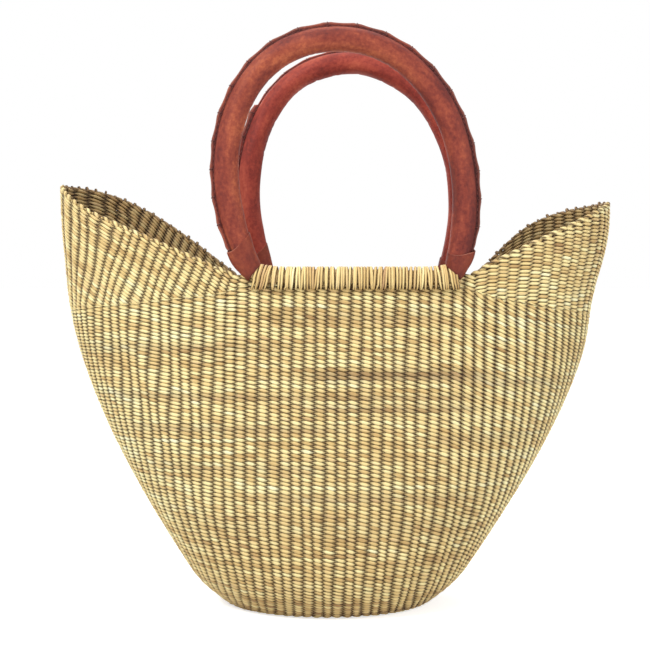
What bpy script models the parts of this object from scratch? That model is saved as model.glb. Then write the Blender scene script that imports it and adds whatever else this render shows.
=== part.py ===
"""Bolga basket: a woven straw shopper with raised wings and two leather-wrapped handles.

Metres, +Z up. X runs along the basket's width, the front side faces -Y, and the origin
lies on the floor under the middle of the basket. Each handle swings about its own rim bar:
the tails of its straw core lie inside the cord lashing that binds the bar to the wall.
"""
import math

import bmesh
import bpy
import numpy as np
from mathutils import Vector

# Basket body, outside
WALL_THICKNESS = 0.0045
FIT_GAP = 0.0003
BASE_HALF_WIDTH = 0.0846
BASE_HALF_DEPTH = 0.0636
BASE_SEAM_HEIGHT = 0.012
BASE_SEAM_GAP = 0.0005
HEEL_REACH = 0.0135
HEEL_HEIGHT = 0.030
HEEL_POWER = 2.0
FULL_HALF_WIDTH = 0.2300
FULL_WIDTH_HEIGHT = 0.320
BELLY_HALF_DEPTH = 0.092
BELLY_HEIGHT = 0.120
MOUTH_HALF_DEPTH = 0.075
WIDTH_START_POWER = 1.09
WIDTH_END_POWER = 1.96
DEPTH_START_POWER = 6.0
PLAN_LOW_POWERS = (2.0, 2.0)
PLAN_HIGH_POWERS = (4.0, 1.9)
BODY_LEAN = 0.0060

# Wings, one past each end of the bars
LEFT_TIP_HEIGHT = 0.3480
RIGHT_TIP_HEIGHT = 0.3340
WING_CENTRE_X = 0.0155
WING_START_REACH = 0.0965
WING_SEAM_DEPTH = 0.0080
WING_SEAM_GAP = 0.0006
RIM_START_RISE = 0.0030
BACK_CLIMB_POWER = 1.2
LEFT_SEAM_DROP = 0.0198
RIGHT_SEAM_DROP = 0.0255
SEAM_POWER = 0.7
LEFT_FLICK_SHARE = 0.13
RIGHT_FLICK_SHARE = 0.03
FLICK_POWER = 12

# Rolled rim edge of the wings, with a bump for each stake end
RIM_RADIUS = 0.0028
RIM_GAP = 0.0004
STAKE_PITCH = 0.0090
BUMP_SHARES = (1.0, 0.8)

# Rim bars
FRONT_BAR_CENTRE_X = 0.0155
BACK_BAR_CENTRE_X = 0.0185
FRONT_BAR_HEIGHT = 0.2730
BACK_BAR_HEIGHT = 0.2660
BAR_CORE_RADIUS = 0.0055
TOP_STRIP_HEIGHT = 0.0030
TOP_STRIP_REACH = 0.0800

# Cord lashing round each bar
CORD_RADIUS = 0.0015
LASHING_REACH = 0.0680
LASHING_LOOPS = 10
POINTS_PER_LOOP = 24
LASHING_CLEARANCE = 0.0004
LASHING_POWER = 3.2
TAIL_BEND_RADIUS = 0.0025
TAIL_CLEARANCE = 0.0007

# Handles
PIN_TIP_REACH = 0.0400
BEND_START_REACH = 0.0710
BEND_RADIUS = 0.0100
BEND_DEGREES = 70.0
FRONT_HANDLE_HALF_WIDTH = 0.0928
BACK_HANDLE_HALF_WIDTH = 0.0938
HANDLE_WIDEST_HEIGHT = 0.0720
HANDLE_ARCH_POWER = 2.1
FRONT_HANDLE_RISE = 0.1855
BACK_HANDLE_RISE = 0.1935
FRONT_HANDLE_LEAN = 0.0148
BACK_HANDLE_LEAN = 0.0064
FRONT_LEAN_POWER = 0.75
BACK_LEAN_POWER = 1.8
HANDLE_CORE_RADIUS = 0.0078
FOOT_TAPER_HEIGHT = 0.0450
LEATHER_THICKNESS = 0.0017
SLEEVE_START_HEIGHT = 0.0130
SEAM_SLIT = 0.0004
FLANGE_REACH = 0.0040
FLANGE_STUB = 0.0002
FLANGE_END_HEIGHT = 0.0340
FLANGE_TAPER = 0.0120
SCALLOP_PITCH = 0.0205
SCALLOP_VALLEY_SHARE = 0.65

# Leather collars over the feet of the handles
COLLAR_TOP_HEIGHT = 0.0330
COLLAR_SHOULDER_HEIGHT = 0.0125
COLLAR_START_DEGREES = 55.0
COLLAR_CLEARANCE = 0.0005
COLLAR_THICKNESS = 0.0010

# Mesh counts
PLAN_SAMPLES = 240
WING_COLUMNS = 18
BAR_COLUMNS = 6
WALL_ROWS = 11
WING_ROWS = 5
BASE_RINGS = 3
RING_POWER = 2.0
ROW_POWER = 1.7
TIP_CROWDING_POWER = 1.5
PATH_SAMPLES = 60
SLEEVE_SIDES = 9
COLLAR_SIDES = 10
CUT_OVERRUN = 0.0100

FRONT = -1
BACK = 1
LEFT = -1
RIGHT = 1
BAR_CENTRES = {FRONT: FRONT_BAR_CENTRE_X, BACK: BACK_BAR_CENTRE_X}
BAR_HEIGHTS = {FRONT: FRONT_BAR_HEIGHT, BACK: BACK_BAR_HEIGHT}
HANDLE_HALF_WIDTHS = {FRONT: FRONT_HANDLE_HALF_WIDTH, BACK: BACK_HANDLE_HALF_WIDTH}
HANDLE_RISES = {FRONT: FRONT_HANDLE_RISE, BACK: BACK_HANDLE_RISE}
HANDLE_LEANS = {FRONT: FRONT_HANDLE_LEAN, BACK: BACK_HANDLE_LEAN}
LEAN_POWERS = {FRONT: FRONT_LEAN_POWER, BACK: BACK_LEAN_POWER}
TIP_HEIGHTS = {LEFT: LEFT_TIP_HEIGHT, RIGHT: RIGHT_TIP_HEIGHT}
SEAM_DROPS = {LEFT: LEFT_SEAM_DROP, RIGHT: RIGHT_SEAM_DROP}
FLICK_SHARES = {LEFT: LEFT_FLICK_SHARE, RIGHT: RIGHT_FLICK_SHARE}
SIDE_NAMES = {FRONT: "front", BACK: "back"}
END_NAMES = {LEFT: "left", RIGHT: "right"}
STRIP_TOP = BAR_CORE_RADIUS + FIT_GAP
STRIP_BOTTOM = STRIP_TOP + TOP_STRIP_HEIGHT
BAR_AXIS_Y = MOUTH_HALF_DEPTH - WALL_THICKNESS / 2


def clear_scene():
    for item in list(bpy.data.objects):
        bpy.data.objects.remove(item, do_unlink=True)


def make_collection(name):
    collection = bpy.data.collections.new(name)
    bpy.context.scene.collection.children.link(collection)
    return collection


def make_material(name, colour, roughness):
    material = bpy.data.materials.new(name)
    material.use_nodes = True
    shader = material.node_tree.nodes["Principled BSDF"]
    shader.inputs["Base Color"].default_value = (*colour, 1.0)
    shader.inputs["Roughness"].default_value = roughness
    shader.inputs["Metallic"].default_value = 0.0
    material.diffuse_color = (*colour, 1.0)
    return material


def add_object(name, data, material, collection, parent=None):
    item = bpy.data.objects.new(name, data)
    data.materials.append(material)
    collection.objects.link(item)
    item.parent = parent
    return item


def smooth_mesh(mesh, degrees=50.0):
    mesh.shade_smooth()
    mesh.set_sharp_from_angle(angle=math.radians(degrees))


def ease(share):
    return share * share * (3.0 - 2.0 * share)


def half_width(z):
    heel = HEEL_REACH * (1.0 - max(1.0 - z / HEEL_HEIGHT, 0.0) ** HEEL_POWER)
    rise = min(z / FULL_WIDTH_HEIGHT, 1.0) ** WIDTH_START_POWER
    spread = 1.0 - (1.0 - rise) ** WIDTH_END_POWER
    return BASE_HALF_WIDTH + heel + (FULL_HALF_WIDTH - BASE_HALF_WIDTH - HEEL_REACH) * spread


def half_depth(z):
    if z <= BELLY_HEIGHT:
        shrink = (1.0 - z / BELLY_HEIGHT) ** DEPTH_START_POWER
        return BELLY_HALF_DEPTH - (BELLY_HALF_DEPTH - BASE_HALF_DEPTH) * shrink
    squeeze = min((z - BELLY_HEIGHT) / (BACK_BAR_HEIGHT - BELLY_HEIGHT), 1.0)
    return BELLY_HALF_DEPTH + (MOUTH_HALF_DEPTH - BELLY_HALF_DEPTH) * ease(squeeze)


def plan_quarter(z):
    """Outline of the body at height z, from the +X tip to the +Y middle."""
    share = ease(min(z / BACK_BAR_HEIGHT, 1.0))
    low_x, low_y = PLAN_LOW_POWERS
    high_x, high_y = PLAN_HIGH_POWERS
    power_x = low_x + (high_x - low_x) * share
    power_y = low_y + (high_y - low_y) * share
    angles = np.linspace(0.0, math.pi / 2, PLAN_SAMPLES)
    xs = half_width(z) * np.abs(np.cos(angles)) ** (2.0 / power_x)
    ys = half_depth(z) * np.abs(np.sin(angles)) ** (2.0 / power_y)
    steps = np.hypot(np.diff(xs), np.diff(ys))
    arc = np.concatenate(([0.0], np.cumsum(steps)))
    return xs, ys, arc / arc[-1]


def side_lean(z):
    """How far the handmade body stands to the left at height z, most at the base."""
    return -BODY_LEAN * max(1.0 - z / FULL_WIDTH_HEIGHT, 0.0)


def wall_point(turn, z):
    """Outer surface at a share of the way round: 0 right tip, 0.25 back, 0.5 left, 0.75 front."""
    xs, ys, shares = plan_quarter(z)
    turn = turn % 1.0
    quarter = min(int(turn * 4.0), 3)
    along = turn * 4.0 - quarter
    if quarter % 2:
        along = 1.0 - along
    x = float(np.interp(along, shares, xs))
    y = float(np.interp(along, shares, ys))
    sign_x = LEFT if quarter in (1, 2) else RIGHT
    sign_y = FRONT if quarter in (2, 3) else BACK
    return Vector((side_lean(z) + sign_x * x, sign_y * y, z))


def turn_from_tip(reach_x):
    """Share of the way round from a tip to the wall at distance reach_x from the middle."""
    xs, _, shares = plan_quarter(BACK_BAR_HEIGHT)
    return float(np.interp(-reach_x, -xs, shares)) / 4.0


def wing_start_x(end):
    return WING_START_REACH + end * WING_CENTRE_X


def wing_share(end, turn, z):
    """How far a wall column stands along its wing: 0 beside the bar, 1 at the tip."""
    start = wing_start_x(end)
    reach = abs(wall_point(turn, z).x - side_lean(z))
    return min(max((reach - start) / (half_width(z) - start), 0.0), 1.0)


def wing_side(end, turn):
    tip_turn = 1.0 if end == RIGHT else 0.5
    past_tip = turn >= tip_turn
    return BACK if past_tip == (end == RIGHT) else FRONT


def seam_height(end, turn):
    side = wing_side(end, turn)
    start = BAR_HEIGHTS[side] - WING_SEAM_DEPTH
    height = start
    for _ in range(4):
        share = wing_share(end, turn, height)
        level = start + (FRONT_BAR_HEIGHT - BAR_HEIGHTS[side]) * share
        height = level - SEAM_DROPS[end] * share ** SEAM_POWER
    return height


def rim_height(end, turn):
    side = wing_side(end, turn)
    start = BAR_HEIGHTS[side] + RIM_START_RISE
    height = start
    for _ in range(6):
        share = wing_share(end, turn, height)
        if side == BACK:
            climb = math.sin(math.pi / 2 * share ** BACK_CLIMB_POWER)
        else:
            flick = FLICK_SHARES[end]
            climb = (1.0 - flick) * share + flick * share ** FLICK_POWER
        height = start + (TIP_HEIGHTS[end] - start) * climb
    return height


def wing_edge_height(end, turn):
    return rim_height(end, turn) - 2 * RIM_RADIUS - RIM_GAP


def wing_turns(end):
    centre = 1.0 if end == RIGHT else 0.5
    reach = turn_from_tip(wing_start_x(end))
    steps = np.linspace(-1.0, 1.0, WING_COLUMNS + 1)
    return [centre + reach * math.copysign(abs(step) ** TIP_CROWDING_POWER, step) for step in steps]


def bar_turns(side):
    """Columns between the wings under one bar, in the order of travel round the wall."""
    right = turn_from_tip(TOP_STRIP_REACH + BAR_CENTRES[side])
    left = turn_from_tip(TOP_STRIP_REACH - BAR_CENTRES[side])
    first, last = (right, 0.5 - left) if side == BACK else (0.5 + left, 1.0 - right)
    return list(np.linspace(first, last, BAR_COLUMNS + 1))


def wall_columns():
    """Every column of the wall once, each with its share of the way round and its top height."""
    columns = []
    for end, side in ((RIGHT, BACK), (LEFT, FRONT)):
        columns += [(turn, seam_height(end, turn) - WING_SEAM_GAP) for turn in wing_turns(end)]
        strip_top = BAR_HEIGHTS[side] - STRIP_TOP
        columns += [(turn, strip_top) for turn in bar_turns(side)]
    return columns


def grid_mesh(name, rows, closed, cap_start=False):
    """An open surface through rows of points, all rows as long as each other."""
    mesh = bpy.data.meshes.new(name)
    shape = bmesh.new()
    made = [[shape.verts.new(point) for point in row] for row in rows]
    count = len(rows[0])
    last = count if closed else count - 1
    for lower, upper in zip(made, made[1:]):
        for index in range(last):
            follow = (index + 1) % count
            shape.faces.new((lower[index], lower[follow], upper[follow], upper[index]))
    if cap_start:
        shape.faces.new(list(reversed(made[0])))
    shape.to_mesh(mesh)
    shape.free()
    return mesh


def add_shell(item, thickness):
    """Thickness is added on the inner side of an outer surface."""
    solid = item.modifiers.new("thickness", "SOLIDIFY")
    solid.thickness = thickness
    solid.offset = -1.0
    solid.use_even_offset = True
    solid.use_quality_normals = True
    return solid


def make_base(material, collection):
    turns = [turn for turn, _ in wall_columns()]
    shares = [1.0 - (1.0 - ring / BASE_RINGS) ** RING_POWER for ring in range(BASE_RINGS + 1)]
    heights = [BASE_SEAM_HEIGHT * share for share in shares]
    rows = [[wall_point(turn, z) for turn in turns] for z in heights]
    mesh = grid_mesh("woven_base", rows, closed=True, cap_start=True)
    item = add_object("woven_base", mesh, material, collection)
    add_shell(item, WALL_THICKNESS)
    return item


def make_wall(material, collection, cutters):
    columns = wall_columns()
    bottom = BASE_SEAM_HEIGHT + BASE_SEAM_GAP
    rows = []
    for row in range(WALL_ROWS + 1):
        share = (row / WALL_ROWS) ** ROW_POWER
        rows.append([wall_point(turn, bottom + (top - bottom) * share) for turn, top in columns])
    mesh = grid_mesh("woven_wall", rows, closed=True)
    item = add_object("woven_wall", mesh, material, collection)
    add_shell(item, WALL_THICKNESS)
    for side in (FRONT, BACK):
        cut = item.modifiers.new(f"{SIDE_NAMES[side]}_lashing_slot", "BOOLEAN")
        cut.operation = "DIFFERENCE"
        cut.solver = "EXACT"
        cut.object = make_lashing_slot(side, cutters)
    return item


def make_lashing_slot(side, cutters):
    """The slit under the wall's top strip, where the turns of the lashing pass through."""
    bpy.ops.mesh.primitive_cube_add(size=1.0)
    slot = bpy.context.active_object
    slot.name = f"{SIDE_NAMES[side]}_lashing_slot"
    height = 2 * CORD_RADIUS + 3 * LASHING_CLEARANCE
    middle = BAR_HEIGHTS[side] - STRIP_BOTTOM - height / 2
    length = 2 * (LASHING_REACH + CORD_RADIUS + LASHING_CLEARANCE)
    slot.scale = (length, WALL_THICKNESS + 2 * CUT_OVERRUN, height)
    slot.location = (BAR_CENTRES[side], side * BAR_AXIS_Y, middle)
    for owner in list(slot.users_collection):
        owner.objects.unlink(slot)
    cutters.objects.link(slot)
    slot.hide_render = True
    slot.display_type = "WIRE"
    return slot


def make_wing(end, material, collection):
    turns = wing_turns(end)
    lows = [seam_height(end, turn) for turn in turns]
    highs = [wing_edge_height(end, turn) for turn in turns]
    rows = []
    for row in range(WING_ROWS + 1):
        share = row / WING_ROWS
        heights = [low + (high - low) * share for low, high in zip(lows, highs)]
        rows.append([wall_point(turn, z) for turn, z in zip(turns, heights)])
    name = f"{END_NAMES[end]}_wing"
    item = add_object(name, grid_mesh(name, rows, closed=False), material, collection)
    add_shell(item, WALL_THICKNESS)
    return item


def resample(points, spacing):
    """Points spread evenly along a polyline, both its ends kept."""
    coordinates = np.array([tuple(point) for point in points])
    steps = np.linalg.norm(np.diff(coordinates, axis=0), axis=1)
    arc = np.concatenate(([0.0], np.cumsum(steps)))
    count = max(int(round(arc[-1] / spacing)), 2)
    marks = np.linspace(0.0, arc[-1], count + 1)
    return [Vector([float(np.interp(mark, arc, axis)) for axis in coordinates.T]) for mark in marks]


def make_curve(name, points, radius, material, collection, shares=None, parent=None):
    data = bpy.data.curves.new(name, "CURVE")
    data.dimensions = "3D"
    data.bevel_depth = radius
    data.bevel_resolution = 1
    data.use_fill_caps = True
    spline = data.splines.new("POLY")
    spline.points.add(len(points) - 1)
    for index, point in enumerate(points):
        spline.points[index].co = (*point, 1.0)
        spline.points[index].radius = shares[index] if shares else 1.0
    return add_object(name, data, material, collection, parent)


def rim_path(end):
    """Middle of the rim roll: it sits square on the wing's edge, over the middle of its thickness."""
    turns = wing_turns(end)
    heights = [wing_edge_height(end, turn) for turn in turns]
    edge = [wall_point(turn, z) for turn, z in zip(turns, heights)]
    points = []
    for index, foot in enumerate(edge):
        ahead = edge[min(index + 1, len(edge) - 1)]
        behind = edge[max(index - 1, 0)]
        along = (ahead - behind).normalized()
        rise = foot - wall_point(turns[index], heights[index] - RIM_RADIUS)
        lift = (rise - along * rise.dot(along)).normalized()
        inward = lift.cross(along)
        points.append(foot + lift * (RIM_GAP + RIM_RADIUS) + inward * WALL_THICKNESS / 2)
    return points


def make_rim(end, material, collection):
    points = resample(rim_path(end), STAKE_PITCH / 2)
    shares = [BUMP_SHARES[index % 2] for index in range(len(points))]
    name = f"{END_NAMES[end]}_rim_edge"
    return make_curve(name, points, RIM_RADIUS, material, collection, shares)


def make_bar_core(side, material, collection):
    """Fixed middle of the bar's straw bundle, between the tails of the handle."""
    length = 2 * (PIN_TIP_REACH - FIT_GAP)
    mesh = bpy.data.meshes.new(f"{SIDE_NAMES[side]}_bar_core")
    shape = bmesh.new()
    bmesh.ops.create_cone(
        shape, cap_ends=True, segments=16, radius1=BAR_CORE_RADIUS, radius2=BAR_CORE_RADIUS, depth=length
    )
    shape.to_mesh(mesh)
    shape.free()
    smooth_mesh(mesh)
    item = add_object(mesh.name, mesh, material, collection)
    item.rotation_euler = (0.0, math.pi / 2, 0.0)
    item.location = (BAR_CENTRES[side], side * BAR_AXIS_Y, BAR_HEIGHTS[side])
    return item


def lashing_section(angle):
    """Where the cord runs round the bar and the strip: (outward, up) from the bar's axis."""
    side_reach = BAR_CORE_RADIUS + LASHING_CLEARANCE + CORD_RADIUS
    bottom_reach = STRIP_BOTTOM + 2 * LASHING_CLEARANCE + CORD_RADIUS
    if math.sin(angle) >= 0.0:
        return side_reach * math.cos(angle), side_reach * math.sin(angle)
    out = math.copysign(abs(math.cos(angle)) ** (2.0 / LASHING_POWER), math.cos(angle))
    down = abs(math.sin(angle)) ** (2.0 / LASHING_POWER)
    return side_reach * out, -bottom_reach * down


def lashing_tail(x, wall_face):
    """Cord end: down beside the wall, round a tight bend and square into the wall's outer face."""
    end_out = wall_face + TAIL_CLEARANCE
    bend_out = end_out + 2 * CORD_RADIUS
    run_out = bend_out + TAIL_BEND_RADIUS
    floor = -(STRIP_BOTTOM + 4 * CORD_RADIUS + 2 * TAIL_BEND_RADIUS)
    points = [(x, end_out, floor), (x, bend_out, floor)]
    for step in (1, 2, 3):
        angle = step * math.pi / 6
        out = bend_out + TAIL_BEND_RADIUS * math.sin(angle)
        up = floor + TAIL_BEND_RADIUS * (1.0 - math.cos(angle))
        points.append((x, out, up))
    points.append((x, run_out, -STRIP_BOTTOM))
    return points


def wall_face_out(side, x):
    """How far the wall's outer face stands outside the bar's axis where a tail meets it."""
    drop = STRIP_BOTTOM + 4 * CORD_RADIUS + 2 * TAIL_BEND_RADIUS
    height = BAR_HEIGHTS[side] - drop
    xs, ys, _ = plan_quarter(height)
    reach = abs(x + BAR_CENTRES[side] - side_lean(height))
    return float(np.interp(-reach, -xs, ys)) - BAR_AXIS_Y


def lashing_path(side):
    """One unbroken cord from tail to tail, in (along, outward, up) from the bar's middle."""
    first = lashing_tail(-LASHING_REACH, wall_face_out(side, -LASHING_REACH))
    last = lashing_tail(LASHING_REACH, wall_face_out(side, LASHING_REACH))
    steps = LASHING_LOOPS * POINTS_PER_LOOP
    wound = []
    for step in range(steps + 1):
        share = step / steps
        out, up = lashing_section(2.0 * math.pi * LASHING_LOOPS * share)
        wound.append((LASHING_REACH * (2.0 * share - 1.0), out, up))
    return first + wound + list(reversed(last))


def least_gap(points, radius):
    """Least clear gap of a wound tube to itself, past its next half loop of points."""
    coordinates = np.array(points)
    least = float("inf")
    skip = POINTS_PER_LOOP // 2
    for index in range(len(coordinates) - skip):
        far = np.linalg.norm(coordinates[index + skip:] - coordinates[index], axis=1)
        least = min(least, float(far.min()))
    return least - 2 * radius


def make_lashing(side, material, collection):
    path = lashing_path(side)
    points = [(x, side * out, up) for x, out, up in path]
    name = f"{SIDE_NAMES[side]}_bar_lashing"
    item = make_curve(name, points, CORD_RADIUS, material, collection)
    item.location = (BAR_CENTRES[side], side * BAR_AXIS_Y, BAR_HEIGHTS[side])
    gap = least_gap(points, CORD_RADIUS)
    print(f"{name}: least gap to itself {gap * 1000:.2f} mm")
    return item


def leg_outline(side):
    """Middle line of the right half of a handle, from the pin's tip to the crown, in (x, z)."""
    half_span = HANDLE_HALF_WIDTHS[side]
    arch_rise = HANDLE_RISES[side] - HANDLE_WIDEST_HEIGHT
    bend_end = math.radians(BEND_DEGREES)
    points = [(PIN_TIP_REACH, 0.0), (BEND_START_REACH, 0.0)]
    bend_steps = PATH_SAMPLES // 4
    for step in range(1, bend_steps + 1):
        angle = bend_end * step / bend_steps
        across = BEND_START_REACH + BEND_RADIUS * math.sin(angle)
        points.append((across, BEND_RADIUS * (1.0 - math.cos(angle))))
    foot = Vector(points[-1])
    top = Vector((half_span, HANDLE_WIDEST_HEIGHT))
    pull = (top - foot).length / 3.0
    foot_pull = foot + Vector((math.cos(bend_end), math.sin(bend_end))) * pull
    top_pull = top - Vector((0.0, pull))
    for step in range(1, PATH_SAMPLES + 1):
        t = step / PATH_SAMPLES
        s = 1.0 - t
        blend = foot * s ** 3 + foot_pull * 3 * s * s * t + top_pull * 3 * s * t * t + top * t ** 3
        points.append(tuple(blend))
    for step in range(1, 2 * PATH_SAMPLES + 1):
        angle = math.pi / 4 * step / PATH_SAMPLES
        across = half_span * abs(math.cos(angle)) ** (2.0 / HANDLE_ARCH_POWER)
        climb = arch_rise * math.sin(angle) ** (2.0 / HANDLE_ARCH_POWER)
        points.append((across, HANDLE_WIDEST_HEIGHT + climb))
    return points


def handle_line(side):
    """Middle line of a whole handle from left pin tip to right pin tip, in (x, z)."""
    half = leg_outline(side)
    whole = [(-x, z) for x, z in half] + [(x, z) for x, z in reversed(half[:-1])]
    line = []
    for x, z in whole:
        lean = HANDLE_LEANS[side] * (z / HANDLE_RISES[side]) ** LEAN_POWERS[side]
        line.append(Vector((x - lean, 0.0, z)))
    return line


def line_between(line, low, high=None):
    """The part of a handle's middle line from height low up over the crown, or up to high."""
    top = max(range(len(line)), key=lambda index: line[index].z)
    first = next(index for index in range(top) if line[index].z >= low)
    if high is None:
        last = next(index for index in range(len(line) - 1, top, -1) if line[index].z >= low)
    else:
        last = next(index for index in range(top) if line[index].z >= high)
    return line[first:last + 1]


def frames_along(points):
    """Each point with its tangent and the direction out of the arch, in the handle's plane."""
    frames = []
    for index, point in enumerate(points):
        before = points[max(index - 1, 0)]
        after = points[min(index + 1, len(points) - 1)]
        tangent = (after - before).normalized()
        outward = Vector((-tangent.z, 0.0, tangent.x))
        frames.append((point, tangent, outward))
    return frames


def loft(name, sections, ring=False):
    """A closed body through sections of equal count; a ring is hollow and open at both ends."""
    mesh = bpy.data.meshes.new(name)
    shape = bmesh.new()
    made = [[shape.verts.new(point) for point in section] for section in sections]
    count = len(sections[0])
    for lower, upper in zip(made, made[1:]):
        for index in range(count):
            follow = (index + 1) % count
            shape.faces.new((lower[index], lower[follow], upper[follow], upper[index]))
    if ring:
        for index in range(count):
            follow = (index + 1) % count
            shape.faces.new((made[-1][index], made[-1][follow], made[0][follow], made[0][index]))
    else:
        shape.faces.new(made[0])
        shape.faces.new(made[-1])
    bmesh.ops.recalc_face_normals(shape, faces=shape.faces)
    shape.to_mesh(mesh)
    shape.free()
    smooth_mesh(mesh)
    return mesh


def core_radius(point):
    """Core radius: thin in the pins, swelling through the bend and the foot of the leg."""
    if abs(point.x) <= BEND_START_REACH and point.z < BEND_RADIUS:
        return BAR_CORE_RADIUS
    share = min(point.z / FOOT_TAPER_HEIGHT, 1.0)
    return BAR_CORE_RADIUS + (HANDLE_CORE_RADIUS - BAR_CORE_RADIUS) * share


def sleeve_radius(point):
    """Outside of the leather round the core."""
    return core_radius(point) + FIT_GAP + LEATHER_THICKNESS


def sleeve_section(frame, flange):
    """Leather folded round the core, its two edges side by side in the flange outside."""
    point, _, outward = frame
    across = Vector((0.0, 1.0, 0.0))
    slit = SEAM_SLIT / 2
    lip = slit + LEATHER_THICKNESS
    outer_radius = sleeve_radius(point)
    tip = outer_radius + flange
    outer = [(tip, slit), (tip, lip), (math.sqrt(outer_radius ** 2 - lip ** 2), lip)]
    inner_radius = (core_radius(point) + FIT_GAP) / math.cos(math.pi / SLEEVE_SIDES)
    inner = [(math.sqrt(inner_radius ** 2 - slit ** 2), slit)]
    step = 2.0 * math.pi / SLEEVE_SIDES
    for index in range(1, SLEEVE_SIDES):
        angle = step * index
        outer.append((outer_radius * math.cos(angle), outer_radius * math.sin(angle)))
        inner.append((inner_radius * math.cos(angle), inner_radius * math.sin(angle)))
    outer += [(out, -side) for out, side in reversed(outer[:3])]
    inner.append((inner[0][0], -slit))
    outline = outer + list(reversed(inner))
    return [point + outward * out + across * side for out, side in outline]


def sleeve_stations(line):
    """Stations of a sleeve, two to a scallop, with the flange's reach at each."""
    points = resample(line_between(line, SLEEVE_START_HEIGHT), SCALLOP_PITCH / 2)
    stations = []
    for index, frame in enumerate(frames_along(points)):
        share = 1.0 if index % 2 else SCALLOP_VALLEY_SHARE
        above = frame[0].z - FLANGE_END_HEIGHT
        fade = min(max(above / FLANGE_TAPER, 0.0), 1.0)
        stations.append((frame, FLANGE_STUB + FLANGE_REACH * share * fade))
    return stations


def make_sleeve(side, line, material, collection, hinge):
    name = f"{SIDE_NAMES[side]}_handle_leather"
    sections = [sleeve_section(frame, flange) for frame, flange in sleeve_stations(line)]
    return add_object(name, loft(name, sections), material, collection, hinge)


def make_handle_core(side, line, material, collection, hinge):
    """Straw rope inside the leather, with a straight tail at each foot lying in the bar."""
    sleeved = [frame[0] for frame, _ in sleeve_stations(line)]
    start = line.index(line_between(line, SLEEVE_START_HEIGHT)[0])
    left_foot = resample(line[1:start + 1], BAR_CORE_RADIUS / 2)
    mirrored = list(reversed(line))
    start = mirrored.index(line_between(mirrored, SLEEVE_START_HEIGHT)[0])
    right_foot = resample(mirrored[1:start + 1], BAR_CORE_RADIUS / 2)
    points = [line[0]] + left_foot[:-1] + sleeved + list(reversed(right_foot[:-1])) + [line[-1]]
    shares = [core_radius(point) / BAR_CORE_RADIUS for point in points]
    name = f"{SIDE_NAMES[side]}_handle_core"
    return make_curve(name, points, BAR_CORE_RADIUS, material, collection, shares, hinge)


def collar_stations(line):
    """Stations of one collar with its inner radius: close on the bend, wider over the sleeve."""
    bend_height = BEND_RADIUS * (1.0 - math.cos(math.radians(COLLAR_START_DEGREES)))
    part = line_between(line, bend_height, COLLAR_TOP_HEIGHT)
    points = resample(part, COLLAR_SHOULDER_HEIGHT / 2)
    climb = COLLAR_SHOULDER_HEIGHT - bend_height
    stations = []
    for frame in frames_along(points):
        point = frame[0]
        low_radius = core_radius(point) + COLLAR_CLEARANCE
        high_radius = sleeve_radius(point) + FLANGE_STUB + 2 * COLLAR_CLEARANCE
        share = min(max((point.z - bend_height) / climb, 0.0), 1.0)
        stations.append((frame, low_radius + (high_radius - low_radius) * share))
    return stations


def ring_section(frame, radius):
    point, _, outward = frame
    across = Vector((0.0, 1.0, 0.0))
    section = []
    for index in range(COLLAR_SIDES):
        angle = 2.0 * math.pi * index / COLLAR_SIDES
        section.append(point + outward * radius * math.cos(angle) + across * radius * math.sin(angle))
    return section


def make_collar(side, end, line, material, collection, hinge):
    name = f"{SIDE_NAMES[side]}_{END_NAMES[end]}_collar"
    path = line if end == LEFT else list(reversed(line))
    stations = collar_stations(path)
    stretch = 1.0 / math.cos(math.pi / COLLAR_SIDES)
    inner = [ring_section(frame, radius * stretch) for frame, radius in stations]
    outer = [ring_section(frame, radius * stretch + COLLAR_THICKNESS) for frame, radius in stations]
    mesh = loft(name, inner + list(reversed(outer)), ring=True)
    return add_object(name, mesh, material, collection, hinge)


def make_hinge(side, collection):
    hinge = bpy.data.objects.new(f"{SIDE_NAMES[side]}_handle_hinge", None)
    hinge.location = (BAR_CENTRES[side], side * BAR_AXIS_Y, BAR_HEIGHTS[side])
    hinge.empty_display_size = BAR_CORE_RADIUS
    collection.objects.link(hinge)
    return hinge


def make_handle(side, materials, collection):
    hinge = make_hinge(side, collection)
    line = handle_line(side)
    make_handle_core(side, line, materials["rope"], collection, hinge)
    leather = materials[f"{SIDE_NAMES[side]}_leather"]
    make_sleeve(side, line, leather, collection, hinge)
    for end in (LEFT, RIGHT):
        make_collar(side, end, line, materials["collar_leather"], collection, hinge)


def main():
    clear_scene()
    basket = make_collection("bolga_basket")
    cutters = make_collection("cutters")
    materials = {
        "straw": make_material("straw", (0.66, 0.50, 0.26), 0.62),
        "rim_straw": make_material("rim_straw", (0.60, 0.44, 0.22), 0.65),
        "cord": make_material("cord", (0.68, 0.53, 0.29), 0.60),
        "rope": make_material("rope", (0.52, 0.38, 0.18), 0.70),
        "front_leather": make_material("front_leather", (0.33, 0.085, 0.050), 0.42),
        "back_leather": make_material("back_leather", (0.24, 0.050, 0.035), 0.45),
        "collar_leather": make_material("collar_leather", (0.36, 0.095, 0.055), 0.40),
    }
    make_base(materials["straw"], basket)
    make_wall(materials["straw"], basket, cutters)
    for end in (LEFT, RIGHT):
        make_wing(end, materials["straw"], basket)
        make_rim(end, materials["rim_straw"], basket)
    for side in (FRONT, BACK):
        make_bar_core(side, materials["rope"], basket)
        make_lashing(side, materials["cord"], basket)
        make_handle(side, materials, basket)


main()
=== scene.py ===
import math

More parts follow.
